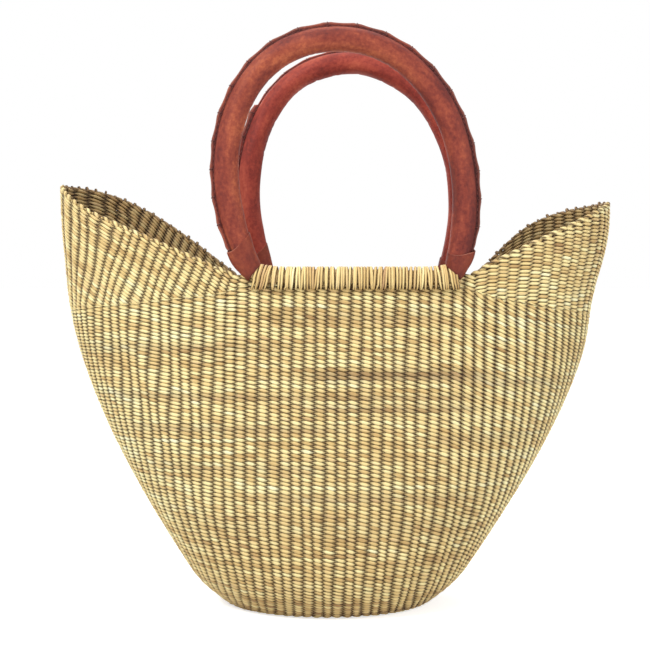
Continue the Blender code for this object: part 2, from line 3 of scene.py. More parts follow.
import bpy
import numpy as np
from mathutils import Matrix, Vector


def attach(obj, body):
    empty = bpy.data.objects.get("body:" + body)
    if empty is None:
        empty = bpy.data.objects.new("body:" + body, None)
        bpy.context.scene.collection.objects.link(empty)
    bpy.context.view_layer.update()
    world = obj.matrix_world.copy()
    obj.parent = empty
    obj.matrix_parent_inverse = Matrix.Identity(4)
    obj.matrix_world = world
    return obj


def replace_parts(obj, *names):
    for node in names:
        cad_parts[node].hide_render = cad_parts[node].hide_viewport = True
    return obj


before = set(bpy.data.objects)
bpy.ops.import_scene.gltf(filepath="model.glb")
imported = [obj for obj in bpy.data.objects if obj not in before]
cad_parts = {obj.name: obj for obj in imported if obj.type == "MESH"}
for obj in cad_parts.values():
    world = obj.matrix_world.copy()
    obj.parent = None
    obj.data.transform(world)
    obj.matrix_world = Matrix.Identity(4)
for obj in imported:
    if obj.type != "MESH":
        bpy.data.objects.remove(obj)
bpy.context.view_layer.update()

FRONT = -1
BACK = 1
LEFT = -1
RIGHT = 1
SIDE_NAMES = {FRONT: "front", BACK: "back"}
END_NAMES = {LEFT: "left", RIGHT: "right"}

# Basket surface, the same sizes as the CAD solids have
WALL_THICKNESS = 0.0045
BASE_HALF_WIDTH = 0.0846
BASE_HALF_DEPTH = 0.0636
HEEL_REACH = 0.0135
HEEL_HEIGHT = 0.030
HEEL_POWER = 2.0
FULL_HALF_WIDTH = 0.2300
FULL_WIDTH_HEIGHT = 0.320
BELLY_HALF_DEPTH = 0.092
BELLY_HEIGHT = 0.120
MOUTH_HALF_DEPTH = 0.075
WIDTH_START_POWER = 1.09
WIDTH_END_POWER = 1.96
DEPTH_START_POWER = 6.0
PLAN_X_POWERS = (2.0, 4.0)
PLAN_Y_POWERS = (2.0, 1.9)
BODY_LEAN = 0.0060

# The ends drawn in under the wings, which the solids leave out
PULLS = {LEFT: 0.0026, RIGHT: 0.0060}
PULL_HEIGHTS = {LEFT: 0.285, RIGHT: 0.256}
PULL_SPREAD = 0.036

# Wings: tips and ends as in the solids, seams and climbs a little nearer to the photograph
TIP_HEIGHTS = {LEFT: 0.3480, RIGHT: 0.3340}
TIP_TURNS = {LEFT: 0.5, RIGHT: 1.0}
WING_CENTRE_X = 0.0155
WING_START_REACH = 0.0965
WING_SEAM_DEPTH = 0.0115
SEAM_DROPS = {LEFT: 0.0160, RIGHT: 0.0206}
RIM_START_RISE = 0.0030
FRONT_CLIMB_POWERS = {LEFT: 1.0, RIGHT: 0.90}
FLICK_SHARES = {LEFT: 0.13, RIGHT: 0.03}
FLICK_POWER = 12
LEFT_BACK_CLIMB_POWER = 1.1
RIGHT_BACK_CLIMB_POWER = 2.2
RIGHT_BACK_CLIMB_LAG = 0.27
RIGHT_BACK_CLIMB_SHARE = 0.70
RIM_RADIUS = 0.0028
RIM_GAP = 0.0004

# Rim bars and handles, as in the CAD solids
BAR_CENTRES = {FRONT: 0.0155, BACK: 0.0185}
BAR_HEIGHTS = {FRONT: 0.2730, BACK: 0.2660}
BAR_AXIS_Y = MOUTH_HALF_DEPTH - WALL_THICKNESS / 2
BAR_CORE_RADIUS = 0.0055
STRIP_TOP_DEPTH = 0.0058
PIN_TIP_REACH = 0.0400
BEND_START_REACH = 0.0710
BEND_RADIUS = 0.0100
BEND_DEGREES = 70.0
HANDLE_HALF_WIDTHS = {FRONT: 0.0928, BACK: 0.0938}
HANDLE_RISES = {FRONT: 0.1855, BACK: 0.1935}
HANDLE_LEANS = {FRONT: 0.0148, BACK: 0.0064}
LEAN_POWERS = {FRONT: 0.75, BACK: 1.8}
HANDLE_WIDEST_HEIGHT = 0.0720
HANDLE_ARCH_POWER = 2.1
HANDLE_CORE_RADIUS = 0.0078
FOOT_TAPER_HEIGHT = 0.0450
FIT_GAP = 0.0003
LEATHER_THICKNESS = 0.0017
SLEEVE_START_HEIGHT = 0.0130
SCALLOP_PITCH = 0.0205
COLLAR_TOP_HEIGHT = 0.0330

# Weave
STAKE_PITCH_LOW = 0.0077
STAKE_PITCH_HIGH = 0.0089
PITCH_RISE_HEIGHT = 0.100
STAKE_WANDER = 0.10
ROW_PITCH = 0.00314
ROW_WANDER = 0.00035
WING_ROW_PITCH = 0.0030
WING_ROW_WANDER = 0.0003
STRAND_SWING = 0.00104
STRAND_HALF_THICKNESS = 0.00130
SAMPLES_PER_STAKE = 6
STRAND_SIDES = 6
UPPER_EDGE_SHADE_SHARE = 0.78
LOWEST_STRAND_SHARE = 0.33
WIDEST_STITCH_SHARE = 0.55
SPARE_STRAND_SHARE = 0.05
STITCH_SLANT_SHARE = 0.28
CLIMBING_SLANT_SHARE = 0.85
BACK_CLIMB_SLANT_SHARE = 0.40
RIGHT_SLANT_SHARE = 0.14
STRAW_TINT = 0.53
BODY_BANDS = 9
WING_LEAN_DEGREES = {LEFT: 24.0, RIGHT: 4.0}
WING_END_REACH = 0.0200
WING_END_DIP = -0.0002
WING_SINK_DEPTH = 0.0009
INNER_SHADE_SHARE = 0.80
TOP_FADE_POWER = 2.0
EDGE_TURN_HEIGHT = 0.012

# Rings of the flat bottom: their pitch, and stakes by least share of the bottom's size
BASE_RING_PITCH = 0.0033
BASE_STAKES = ((0.55, 56), (0.25, 28), (0.0, 12))

# Darker rows of the body: height, spread, from x, to x, strength
BROWN_BANDS = (
    (0.2412, 0.0060, -0.040, 0.090, 0.30),
    (0.2164, 0.0045, -0.200, -0.040, 0.35),
    (0.1955, 0.0042, -0.019, 0.118, 0.85),
    (0.1890, 0.0030, 0.110, 0.186, 0.45),
    (0.1785, 0.0026, -0.180, 0.110, 0.50),
    (0.1692, 0.0028, -0.019, 0.112, 0.60),
    (0.1537, 0.0028, -0.160, 0.004, 0.50),
    (0.1468, 0.0028, 0.070, 0.160, 0.40),
    (0.1236, 0.0030, -0.140, 0.000, 0.35),
    (0.1003, 0.0038, -0.070, 0.110, 0.40),
    (0.0771, 0.0100, -0.120, 0.100, 0.20),
)
BAND_EDGE = 0.008
BACK_BAND_SHARE = 0.6

# Folded stake ends along the wings' rims
LUMP_PITCH = 0.0092
LUMP_RADIUS = 0.0016
LUMP_RISE = 0.0008
FRONT_ROLL_RADIUS = 0.0008
BACK_ROLL_RADIUS = 0.0009
LUMP_LEAN_SHARE = 0.95
LUMP_START_DEGREES = -45.0
LUMP_END_DEGREES = 235.0
LUMP_SAMPLES = 12
STUB_LENGTH = 0.0033
STUB_RADIUS = 0.0016
STUB_START = 0.012
STUB_SAMPLES = 5

# Straw wound round the bars
WHIP_REACH = 0.0782
WHIP_PITCH = 0.0022
WHIP_SAMPLES = 24
WHIP_SIDE_REACH = 0.0070
WHIP_BOTTOM_REACH = 0.0098
WHIP_POWER = 3.0
WHIP_HALF_WIDTH = 0.00112
WHIP_HALF_THICKNESS = 0.00085
WHIP_HOLE_PITCH = 0.0090
WHIP_BUNCH_SHARE = 0.10
WHIP_FANS = {LEFT: -0.0054, RIGHT: 0.0052}
WHIP_FAN_START = 0.050
WHIP_FOOT_RISE = 0.0022
WHIP_WANDER = 0.00072
WHIP_TINT = 0.35

# Leather of the handles
SLEEVE_STEP = 0.0014
SLEEVE_ARC_POINTS = 46
FLANGE_REACHES = {FRONT: 0.0040, BACK: 0.0024}
FLANGE_LOW_EXTRAS = {FRONT: 0.0, BACK: 0.0032}
FLANGE_END_HEIGHT = 0.0150
FLANGE_CHANGE_HEIGHT = 0.1500
FLANGE_TAPER = 0.0120
FLANGE_FOOT_DEGREES = 21.0
FLANGE_HALF_THICKNESS = 0.0015
FLANGE_PINCH_SHARE = 0.72
CHORD_SAG_SHARE = 0.30
LACE_NOTCH = 0.0007
LACE_NOTCH_WIDTH = 0.0011
LACE_MARK_WIDTH = 0.0013
SWELL_WAVES = 14
SWELL_SIZE = 0.00009
CREASES = 34
HIGHLIGHT_SIDE_DEGREES = 222.0
FLANGE_PALE_SHARE = 0.24
RIGHT_LEG_DIMS = {FRONT: 0.26, BACK: 0.0}

# One lip of the flange from its foot to its edge: angle, reach, half thickness and painted shade as shares
LIP = (
    (0.80, 0.0, 1.35, 0.85),
    (0.62, 0.10, FLANGE_PINCH_SHARE, 1.0),
    (0.46, 0.45, 1.0, 0.30),
    (0.30, 0.85, 0.95, 0.12),
    (0.12, 1.0, 0.35, 0.35),
)

# Thread of the flange
THREAD_RADIUS = 0.00042
LACE_STEPS = 17
STITCHES_PER_SCALLOP = 5
STITCH_HALF_LENGTH = 0.00135

# Leather wraps over the handles' feet
COLLAR_POINTS = 84
COLLAR_RINGS = 60
COLLAR_LIFT = 0.0011
COLLAR_START_DEGREES = 45.0
COLLAR_V_REACH = 0.0006
COLLAR_SLANTS = {LEFT: 0.0050, RIGHT: 0.0042}
COLLAR_SLANT_TURNS = {LEFT: 0.425, RIGHT: 0.150}
COLLAR_DROPS = {LEFT: 0.001, RIGHT: 0.009}
COLLAR_SEAM_BULGES = {FRONT: 0.0030, BACK: 0.0012}
COLLAR_TONES = {LEFT: 1.0, RIGHT: 0.80}
COLLAR_WORN_DEGREES = {LEFT: 330.0, RIGHT: 290.0}
COLLAR_FOLD = 0.0004
COLLAR_FOLD_RATE = 400.0 / 3.0

# Table of the outer surface
TABLE_HEIGHT = 0.3600
TABLE_ROWS = 361
TABLE_COLUMNS = 201
DENSE_SAMPLES = 1600
CORNER_KERNEL = 61

# How texture coordinates follow a straw: lengthwise, across and from straw to straw
FIBRE_LENGTH_SCALE = 66.0
FIBRE_WIDTH_SCALE = 4.0
FIBRE_STEP = 13.7

# Camera, from the photograph's perspective
CAMERA_PLACE = (-0.0019, -1.1329, 0.2935)
CAMERA_TILT_DEGREES = 1.52
CAMERA_PAN_DEGREES = 0.32
CAMERA_LENS_MM = 74.8
CAMERA_SENSOR_MM = 36.0
CAMERA_SHIFT_Y = -0.060

# Soft studio: name, place, size and power of each lamp, then the world and the floor
LAMPS = (
    ("key_lamp", (-1.0, -1.25, 1.75), 0.8, 38.0),
    ("fill_lamp", (1.4, -1.2, 0.9), 1.2, 14.0),
    ("back_lamp", (-0.9, 1.7, 1.1), 1.2, 16.0),
    ("top_lamp", (0.1, 0.5, 1.9), 1.2, 10.0),
)
LAMP_TARGET = (0.0, 0.0, 0.22)
WORLD_STRENGTH = 0.47
WHITE = (1.0, 1.0, 1.0, 1.0)
FLOOR_COLOUR = (0.80, 0.80, 0.80, 1.0)
FLOOR_REACH = 9.0
FLOOR_DROP = 0.0004
FLOOR_GLOW = 0.66

random = np.random.default_rng(20)


def ease(share):
    return share * share * (3.0 - 2.0 * share)


def unit(vectors):
    return vectors / np.maximum(np.linalg.norm(vectors, axis=-1, keepdims=True), 1e-12)


def arc_lengths(points):
    steps = np.linalg.norm(np.diff(points, axis=0), axis=1)
    return np.concatenate(([0.0], np.cumsum(steps)))


def read_along(marks, arc, values):
    """Rows of values read at marks along an arc."""
    return np.stack([np.interp(marks, arc, column) for column in values.T], axis=-1)


def ramp_up(values, start, length):
    """Eased share, from 0 to 1, of the way past start along a length."""
    return ease(np.clip((values - start) / length, 0.0, 1.0))


def wavering(marks, count):
    """Seeded normal numbers at 0 to count - 1, read at marks between them."""
    return np.interp(marks, np.arange(count), random.normal(0.0, 1.0, count))


def square_to(vectors, forward):
    """What is left of vectors across the unit vectors forward."""
    return vectors - forward * np.sum(vectors * forward, axis=1, keepdims=True)


def half_width(z):
    heel = HEEL_REACH * (1.0 - np.maximum(1.0 - z / HEEL_HEIGHT, 0.0) ** HEEL_POWER)
    rise = np.minimum(z / FULL_WIDTH_HEIGHT, 1.0) ** WIDTH_START_POWER
    spread = 1.0 - (1.0 - rise) ** WIDTH_END_POWER
    return BASE_HALF_WIDTH + heel + (FULL_HALF_WIDTH - BASE_HALF_WIDTH - HEEL_REACH) * spread


def half_depth(z):
    shrink = np.maximum(1.0 - z / BELLY_HEIGHT, 0.0) ** DEPTH_START_POWER
    low = BELLY_HALF_DEPTH - (BELLY_HALF_DEPTH - BASE_HALF_DEPTH) * shrink
    squeeze = ramp_up(z, BELLY_HEIGHT, BAR_HEIGHTS[BACK] - BELLY_HEIGHT)
    return low + (MOUTH_HALF_DEPTH - BELLY_HALF_DEPTH) * squeeze


def side_lean(z):
    """How far the handmade body stands to the left at height z, most at the base."""
    return -BODY_LEAN * np.maximum(1.0 - z / FULL_WIDTH_HEIGHT, 0.0)


def pull_in(side, z):
    """How far the two ends are squeezed in under the wings."""
    depth, middle = (np.where(side == RIGHT, pair[RIGHT], pair[LEFT]) for pair in (PULLS, PULL_HEIGHTS))
    return depth * np.exp(-((z - middle) / PULL_SPREAD) ** 2)


def make_table():
    """X, Y and arc length of a quarter of the outline, by height and by share of the quarter."""
    marks = np.linspace(0.0, 1.0, TABLE_COLUMNS)
    angles = np.linspace(0.0, math.pi / 2, 6 * TABLE_COLUMNS)
    table = np.zeros((3, TABLE_ROWS, TABLE_COLUMNS))
    for row, z in enumerate(np.linspace(0.0, TABLE_HEIGHT, TABLE_ROWS)):
        share = ease(min(z / BAR_HEIGHTS[BACK], 1.0))
        power_x, power_y = (low + (high - low) * share for low, high in (PLAN_X_POWERS, PLAN_Y_POWERS))
        xs = half_width(z) * np.abs(np.cos(angles)) ** (2.0 / power_x)
        ys = half_depth(z) * np.abs(np.sin(angles)) ** (2.0 / power_y)
        arc = arc_lengths(np.stack([xs, ys], axis=-1))
        table[0, row] = np.interp(marks, arc / arc[-1], xs)
        table[1, row] = np.interp(marks, arc / arc[-1], ys)
        table[2, row] = arc[-1]
    return table


PLAN_TABLE = make_table()


def look_up(values, along, z):
    """Bilinear reading of a table at shares along its columns and heights up its rows."""
    row = np.clip(z / TABLE_HEIGHT, 0.0, 1.0) * (TABLE_ROWS - 1)
    column = np.clip(along, 0.0, 1.0) * (TABLE_COLUMNS - 1)
    first = np.minimum(row.astype(int), TABLE_ROWS - 2)
    left = np.minimum(column.astype(int), TABLE_COLUMNS - 2)
    on = column - left
    low, high = (values[at, left] * (1.0 - on) + values[at, left + 1] * on for at in (first, first + 1))
    return low * (1.0 - (row - first)) + high * (row - first)


def wall_points(turns, z):
    """Outer surface at shares of the way round: 0 right tip, 0.25 back, 0.5 left, 0.75 front."""
    turns, z = np.broadcast_arrays(np.mod(turns, 1.0), z)
    quarter = np.minimum((turns * 4.0).astype(int), 3)
    along = turns * 4.0 - quarter
    along = np.where(quarter % 2 == 1, 1.0 - along, along)
    side = np.where((quarter == 1) | (quarter == 2), LEFT, RIGHT)
    x = look_up(PLAN_TABLE[0], along, z) * (1.0 - pull_in(side, z) / half_width(z))
    y = look_up(PLAN_TABLE[1], along, z) * np.where(quarter >= 2, FRONT, BACK)
    return np.stack([side_lean(z) + side * x, y, z], axis=-1)


def wall_normals(turns, z):
    """Outward normals of the outer surface."""
    turn_step = 0.001
    rise_step = 0.0015
    low = np.maximum(z - rise_step, 0.0)
    around = wall_points(turns + turn_step, z) - wall_points(turns - turn_step, z)
    up = wall_points(turns, low + 2 * rise_step) - wall_points(turns, low)
    return unit(np.cross(around, up))


def turn_from_tip(reach_x):
    """Share of the way round from a tip to the wall at distance reach_x from the middle."""
    row = int(round(BAR_HEIGHTS[BACK] / TABLE_HEIGHT * (TABLE_ROWS - 1)))
    marks = np.linspace(0.0, 1.0, TABLE_COLUMNS)
    return float(np.interp(-reach_x, -PLAN_TABLE[0, row], marks)) / 4.0


def wing_start_x(end):
    return WING_START_REACH + end * WING_CENTRE_X


def wing_share(end, turns, z):
    start = wing_start_x(end)
    reach = np.abs(wall_points(turns, z)[..., 0] - side_lean(z))
    return np.clip((reach - start) / (half_width(z) - start), 0.0, 1.0)


def on_back(end, turns):
    past_tip = turns >= TIP_TURNS[end]
    return past_tip if end == RIGHT else ~past_tip


def bar_heights(behind):
    return np.where(behind, BAR_HEIGHTS[BACK], BAR_HEIGHTS[FRONT])


def seam_heights(end, turns):
    start = bar_heights(on_back(end, turns))
    height = start - WING_SEAM_DEPTH
    for _ in range(4):
        share = wing_share(end, turns, height)
        level = start - WING_SEAM_DEPTH + (BAR_HEIGHTS[FRONT] - start) * share
        height = level - SEAM_DROPS[end] * share
    return height


def back_climb(end, share):
    """How a back rim climbs to its tip: evenly at the left, steepest midway at the right."""
    if end == LEFT:
        return np.sin(math.pi / 2 * share ** LEFT_BACK_CLIMB_POWER)
    risen = share ** RIGHT_BACK_CLIMB_POWER
    left = RIGHT_BACK_CLIMB_LAG * (1.0 - share) ** RIGHT_BACK_CLIMB_POWER
    return RIGHT_BACK_CLIMB_SHARE * risen / (risen + left) + (1.0 - RIGHT_BACK_CLIMB_SHARE) * share


def rim_heights(end, turns, flick_share):
    behind = on_back(end, turns)
    start = bar_heights(behind) + RIM_START_RISE
    height = start
    flick = FLICK_SHARES[end] * flick_share
    for _ in range(6):
        share = wing_share(end, turns, height)
        front_climb = (1.0 - flick) * share ** FRONT_CLIMB_POWERS[end] + flick * share ** FLICK_POWER
        climb = np.where(behind, back_climb(end, share), front_climb)
        height = start + (TIP_HEIGHTS[end] - start) * climb
    return height


def wall_top_heights(turns):
    """Top of the round rows: the wings' seams and, between them, the lower side of the bars."""
    turns = np.mod(turns, 1.0)
    top = bar_heights(turns < 0.5) - STRIP_TOP_DEPTH
    for end in (LEFT, RIGHT):
        offset = np.mod(turns - TIP_TURNS[end] + 0.5, 1.0) - 0.5
        near = np.abs(offset) < turn_from_tip(wing_start_x(end))
        top = np.where(near, seam_heights(end, TIP_TURNS[end] + offset), top)
    return top


def smooth_ring(values):
    """Soft corners on a line whose first and last values are the same point."""
    kernel = np.hanning(CORNER_KERNEL)
    reach = CORNER_KERNEL // 2
    padded = np.concatenate([values[-reach - 1:-1], values, values[1:reach + 1]])
    return np.convolve(padded, kernel / kernel.sum(), mode="valid")


DENSE_TURNS = np.linspace(0.25, 1.25, DENSE_SAMPLES)
WALL_TOPS = smooth_ring(wall_top_heights(DENSE_TURNS))


def add_object(name, data):
    item = bpy.data.objects.new(name, data)
    bpy.context.scene.collection.objects.link(item)
    return item


class Tubes:
    """Collects tubes, each a run of like sections, and makes one mesh of them."""

    def __init__(self, sides=STRAND_SIDES):
        angles = 2.0 * np.pi * np.arange(sides) / sides
        self.cosines = np.cos(angles)
        self.sines = np.sin(angles)
        self.sides = sides
        self.tubes = []

    def add_rings(self, places, looks, fibres, joined=False):
        """A tube of sections as they are; a joined one closes on itself lengthwise."""
        self.tubes.append((places, looks, fibres, joined))

    def add(self, centres, outward, half_widths, half_thicknesses, tints, browns, crevice_shades, inner_shade=0.0):
        """One straw: its middle line, the way its flat side faces, half sizes and looks."""
        forward = unit(np.gradient(centres, axis=0))
        across = unit(np.cross(outward, forward))
        outward = np.cross(forward, across)
        wide = across[:, None, :] * (half_widths[:, None] * self.cosines)[:, :, None]
        thick = outward[:, None, :] * (half_thicknesses[:, None] * self.sines)[:, :, None]
        looks = np.ones((len(centres), self.sides, 4))
        # The fourth channel holds painted shade at the stitches' ends.
        for channel, values in ((0, tints), (1, browns), (3, crevice_shades)):
            looks[:, :, channel] = np.asarray(values)[..., None]
        # Painted shade: the strand's inner side is made browner.
        looks[:, :, 1] += inner_shade * np.maximum(-self.sines, 0.0)
        # Painted shade: darkness along the strand's edges, full at the lower edge and less at the upper
        # edge.
        looks[:, :, 2] = np.where(self.cosines < 0.0, -self.cosines, UPPER_EDGE_SHADE_SHARE * self.cosines)
        fibres = np.zeros((len(centres), self.sides, 3))
        fibres[:, :, 0] = arc_lengths(centres)[:, None] * FIBRE_LENGTH_SCALE
        fibres[:, :, 1] = self.cosines * FIBRE_WIDTH_SCALE + len(self.tubes) * FIBRE_STEP
        fibres[:, :, 2] = self.sines * FIBRE_WIDTH_SCALE
        self.add_rings(centres[:, None, :] + wide + thick, looks, fibres)

    def faces(self):
        """Corner indices of the side faces, and of the end caps with the step that each closes."""
        ring = np.arange(self.sides)
        follow = (ring + 1) % self.sides
        quads = []
        caps = []
        cap_steps = []
        start = 0
        step = 0
        for places, _, _, joined in self.tubes:
            samples = len(places)
            count = samples if joined else samples - 1
            lows = (start + np.arange(count) * self.sides)[:, None]
            highs = (start + (np.arange(count) + 1) % samples * self.sides)[:, None]
            corners = (lows + ring, lows + follow, highs + follow, highs + ring)
            quads.append(np.stack(corners, axis=-1).reshape(-1, 4))
            step += count
            if not joined:
                caps += [start + ring[::-1], start + (samples - 1) * self.sides + ring]
                cap_steps += [step - count, step - 1]
            start += samples * self.sides
        return np.concatenate(quads), np.array(caps, int), np.array(cap_steps, int), step

    def bake_map(self, cap_steps, steps):
        """Texture map: the sections' steps side by side in strips, a tube's sides up each strip."""
        rows = self.sides + 1
        strips = max(int(round(math.sqrt(steps / rows))), 1)
        columns = math.ceil(steps / strips)
        step, side = np.divmod(np.arange(steps * self.sides), self.sides)
        lows = np.stack([step % columns, step // columns * rows + side], axis=-1)
        quads = lows[:, None] + ((0, 0), (0, 1), (1, 1), (1, 0))
        middles = np.stack([cap_steps % columns + 0.5, cap_steps // columns * rows + rows - 0.5], axis=-1)
        caps = middles[:, None] + 0.2 * np.stack([self.cosines, self.sines], axis=-1)
        return np.concatenate([quads.reshape(-1, 2), caps.reshape(-1, 2)]) / (columns, strips * rows)

    def build(self, name, material, body):
        quads, caps, cap_steps, steps = self.faces()
        places, looks, fibres, _ = zip(*self.tubes)
        points = np.concatenate([place.reshape(-1, 3) for place in places])
        corners = np.concatenate([quads.ravel(), caps.ravel()])
        totals = np.repeat((4, self.sides), (len(quads), len(caps)))
        mesh = bpy.data.meshes.new(name)
        mesh.vertices.add(len(points))
        mesh.vertices.foreach_set("co", points.astype(np.float32).ravel())
        mesh.loops.add(len(corners))
        mesh.loops.foreach_set("vertex_index", corners.astype(np.int32))
        mesh.polygons.add(len(totals))
        mesh.polygons.foreach_set("loop_start", (np.cumsum(totals) - totals).astype(np.int32))
        layer = mesh.uv_layers.new(name="OFBake")
        layer.data.foreach_set("uv", self.bake_map(cap_steps, steps).astype(np.float32).ravel())
        mesh.update(calc_edges=True)
        mesh.shade_smooth()
        attributes = (("weave", "FLOAT_COLOR", "color", looks), ("fibre", "FLOAT_VECTOR", "vector", fibres))
        for label, kind, key, values in attributes:
            layer = mesh.attributes.new(label, kind, "POINT")
            layer.data.foreach_set(key, np.concatenate([value.ravel() for value in values]))
        mesh.materials.append(material)
        item = add_object(name, mesh)
        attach(item, body)
        return item


def wave_field(count, turn_waves, height_waves):
    """A smooth seeded function of turn and height, about -1 to 1, alike at both ends of a turn."""
    turns = random.integers(turn_waves[0], turn_waves[1] + 1, count)
    heights = random.uniform(*height_waves, count)
    phases = random.uniform(0.0, 2.0 * np.pi, count)

    def field(turn, z):
        waves = zip(turns, heights, phases)
        total = sum(np.sin(2.0 * np.pi * (around * turn + up * z) + phase) for around, up, phase in waves)
        return total / math.sqrt(count)

    return field


row_drift = wave_field(6, (1, 14), (3.0, 16.0))
stake_drift = wave_field(6, (2, 30), (2.0, 14.0))
colour_patches = wave_field(9, (3, 40), (8.0, 70.0))


def spliced_tints(count, low, high):
    """One tint from -1 to 1 for each straw spliced into a strand, low to high stitches long."""
    tints = np.zeros(count)
    at = 0
    while at < count:
        length = int(random.integers(low, high + 1))
        tints[at:at + length] = random.uniform(-1.0, 1.0)
        at += length
    return tints


def closing_share(lift):
    """Half width, in row pitches, with which strands this far off their rows' middles close the wall."""
    gap = np.mod(2.0 * np.abs(lift), 1.0)
    return 0.5 * np.maximum(gap, 1.0 - gap) + SPARE_STRAND_SHARE


def twine(tubes, centres, outward, places, pitches, browns, patches, slants):
    """Two strands twisted round each other along one row, passing in front of every other stake."""
    across = unit(np.cross(outward, unit(np.gradient(centres, axis=0))))
    marks = places - math.floor(places[0])
    stakes = int(marks[-1]) + 3
    stitch = np.round(marks).astype(int)
    shared = spliced_tints(stakes, 9, 30)
    for turn_over in (0.0, math.pi):
        phase = math.pi * places + turn_over
        wander = np.clip(random.normal(0.0, 1.0, (4, stakes)), -2.0, 2.0)
        drift, bulk, push = (np.interp(marks, np.arange(stakes), values) for values in wander[:3])
        front = np.cos(phase)
        lift = -slants * np.sin(phase) + 0.045 * drift
        stand = STRAND_SWING * front * (1.0 + 0.06 * push)
        middle = centres + across * (lift * pitches)[:, None] + outward * stand[:, None]
        plump = WIDEST_STITCH_SHARE - (WIDEST_STITCH_SHARE - LOWEST_STRAND_SHARE) * np.sin(phase) ** 4
        plump = np.maximum(plump, closing_share(slants * np.sin(phase)))
        half_widths = pitches * plump * (1.0 + 0.06 * bulk)
        half_thicknesses = STRAND_HALF_THICKNESS * (0.86 + 0.14 * (front * front)) * (1.0 + 0.04 * bulk)
        splices = spliced_tints(stakes, 10, 34)
        own = 0.08 * splices[stitch] + 0.09 * wander[3][stitch]
        tints = STRAW_TINT + 0.17 * shared[stitch] + own + 0.11 * patches
        # Painted shade: dark where the two strands cross between stakes, at the stitches' ends.
        crevice_shades = np.sin(phase) ** 6
        tubes.add(middle, outward, half_widths, half_thicknesses, tints, browns, crevice_shades, INNER_SHADE_SHARE)


def between(low, high, pitch):
    """Marks that share out the odd gap between two runs of stakes."""
    steps = max(int(round((high - low) / pitch)), 1)
    return low + (high - low) * np.arange(1, steps) / steps


def stake_marks(arc, turns, pitch):
    """Arc lengths of the stakes of one ring, laid out evenly from the back middle and the front middle.

    Stakes are left out at the tips, where the ring gets shorter towards the base.
    """
    left_tip, front, right_tip = np.interp((0.5, 0.75, 1.0), turns, arc)
    back_left = pitch * np.arange(int(left_tip / pitch - 0.5) + 1)
    back_right = arc[-1] - pitch * np.arange(int((arc[-1] - right_tip) / pitch - 0.5) + 1)[::-1]
    left_count = int((front - left_tip) / pitch - 0.25)
    right_count = int((right_tip - front) / pitch - 0.25)
    fronts = front + pitch * np.arange(-left_count, right_count + 1)
    left_gap = between(back_left[-1], fronts[0], pitch)
    right_gap = between(fronts[-1], back_right[0], pitch)
    return np.concatenate((back_left, left_gap, fronts, right_gap, back_right))


def stake_pitch(z):
    return STAKE_PITCH_LOW + (STAKE_PITCH_HIGH - STAKE_PITCH_LOW) * ramp_up(z, 0.0, PITCH_RISE_HEIGHT)


def row_shares():
    """Heights of the body's rows as shares of the wall's top, evenly spaced up the front middle."""
    heights = np.linspace(0.0, BAR_HEIGHTS[FRONT] - STRIP_TOP_DEPTH, 600)
    arc = arc_lengths(np.stack([heights, half_depth(heights)], axis=-1))
    count = int(round(arc[-1] / ROW_PITCH))
    marks = (np.arange(count) + 0.5) / count * arc[-1]
    return np.interp(marks, arc, heights) / heights[-1]


def mid_surface(turns, z):
    """Middle of the wall's thickness and the outward normal there."""
    normals = wall_normals(turns, z)
    return wall_points(turns, z) - normals * WALL_THICKNESS / 2, normals


def row_heights(turns, share):
    """Heights of one body row; the dip of the wall's top under the wings fades out downwards."""
    level = BAR_HEIGHTS[FRONT] - STRIP_TOP_DEPTH
    tops = np.interp(turns, DENSE_TURNS, WALL_TOPS)
    return level * share + (tops - level) * share ** TOP_FADE_POWER


def numbered_turns(share):
    """Stake numbers of one body row at the dense turns."""
    heights = row_heights(DENSE_TURNS, share)
    arc = arc_lengths(wall_points(DENSE_TURNS, heights))
    level = float(np.interp(0.75, DENSE_TURNS, heights))
    marks = stake_marks(arc, DENSE_TURNS, stake_pitch(level))
    places = np.interp(arc, marks, np.arange(len(marks)))
    middle = float(np.interp(0.75, DENSE_TURNS, places))
    return places - round(middle) + STAKE_WANDER * stake_drift(DENSE_TURNS, level)


def sample_places(places):
    """Evenly spread places along a row, with both its ends."""
    first = math.ceil(places[0] * SAMPLES_PER_STAKE)
    last = math.floor(places[-1] * SAMPLES_PER_STAKE)
    return np.concatenate(([places[0]], np.arange(first, last + 1) / SAMPLES_PER_STAKE, [places[-1]]))


def brown_bands(points):
    """How brown the straw is at points of the wall, from the few tan rows that the basket has."""
    x, y, z = points.T
    brown = np.zeros(len(points))
    for height, spread, start, stop, strength in BROWN_BANDS:
        level = np.exp(-((z - height) / spread) ** 2)
        inside = 1.0 / (1.0 + np.exp(-(x - start) / BAND_EDGE)) / (1.0 + np.exp((x - stop) / BAND_EDGE))
        brown += strength * level * inside * np.where(y < 0.0, 1.0, BACK_BAND_SHARE)
    return brown


def base_shade_and_side_tone(points):
    """Painted shade: darker straw towards the base. Also paler straw at the sides higher up, turning darker
    on the wings.
    """
    low = ease(np.clip(1.0 - points[:, 2] / 0.12, 0.0, 1.0))
    side = ramp_up(np.abs(points[:, 0]), 0.07, 0.08)
    wing = ramp_up(points[:, 2], 0.255, 0.03)
    return (0.9 - 1.5 * wing) * side - 1.3 * low


def stitch_slants(centres):
    """How far a stitch leans across its row: more where the row climbs, and at the body's right."""
    forward = unit(np.gradient(centres, axis=0))
    facing = centres[:, 1] < 0.0
    climb = np.maximum(forward[:, 2], 0.0) * (0.35 + 0.65 * ramp_up(np.abs(centres[:, 0]), 0.085, 0.09))
    climb *= np.where(facing, 1.0, BACK_CLIMB_SLANT_SHARE)
    right = ramp_up(centres[:, 0], 0.02, 0.12) * facing
    whole = STITCH_SLANT_SHARE + CLIMBING_SLANT_SHARE * climb + RIGHT_SLANT_SHARE * right
    return whole * (0.30 + 0.70 * np.abs(forward[:, 0]))


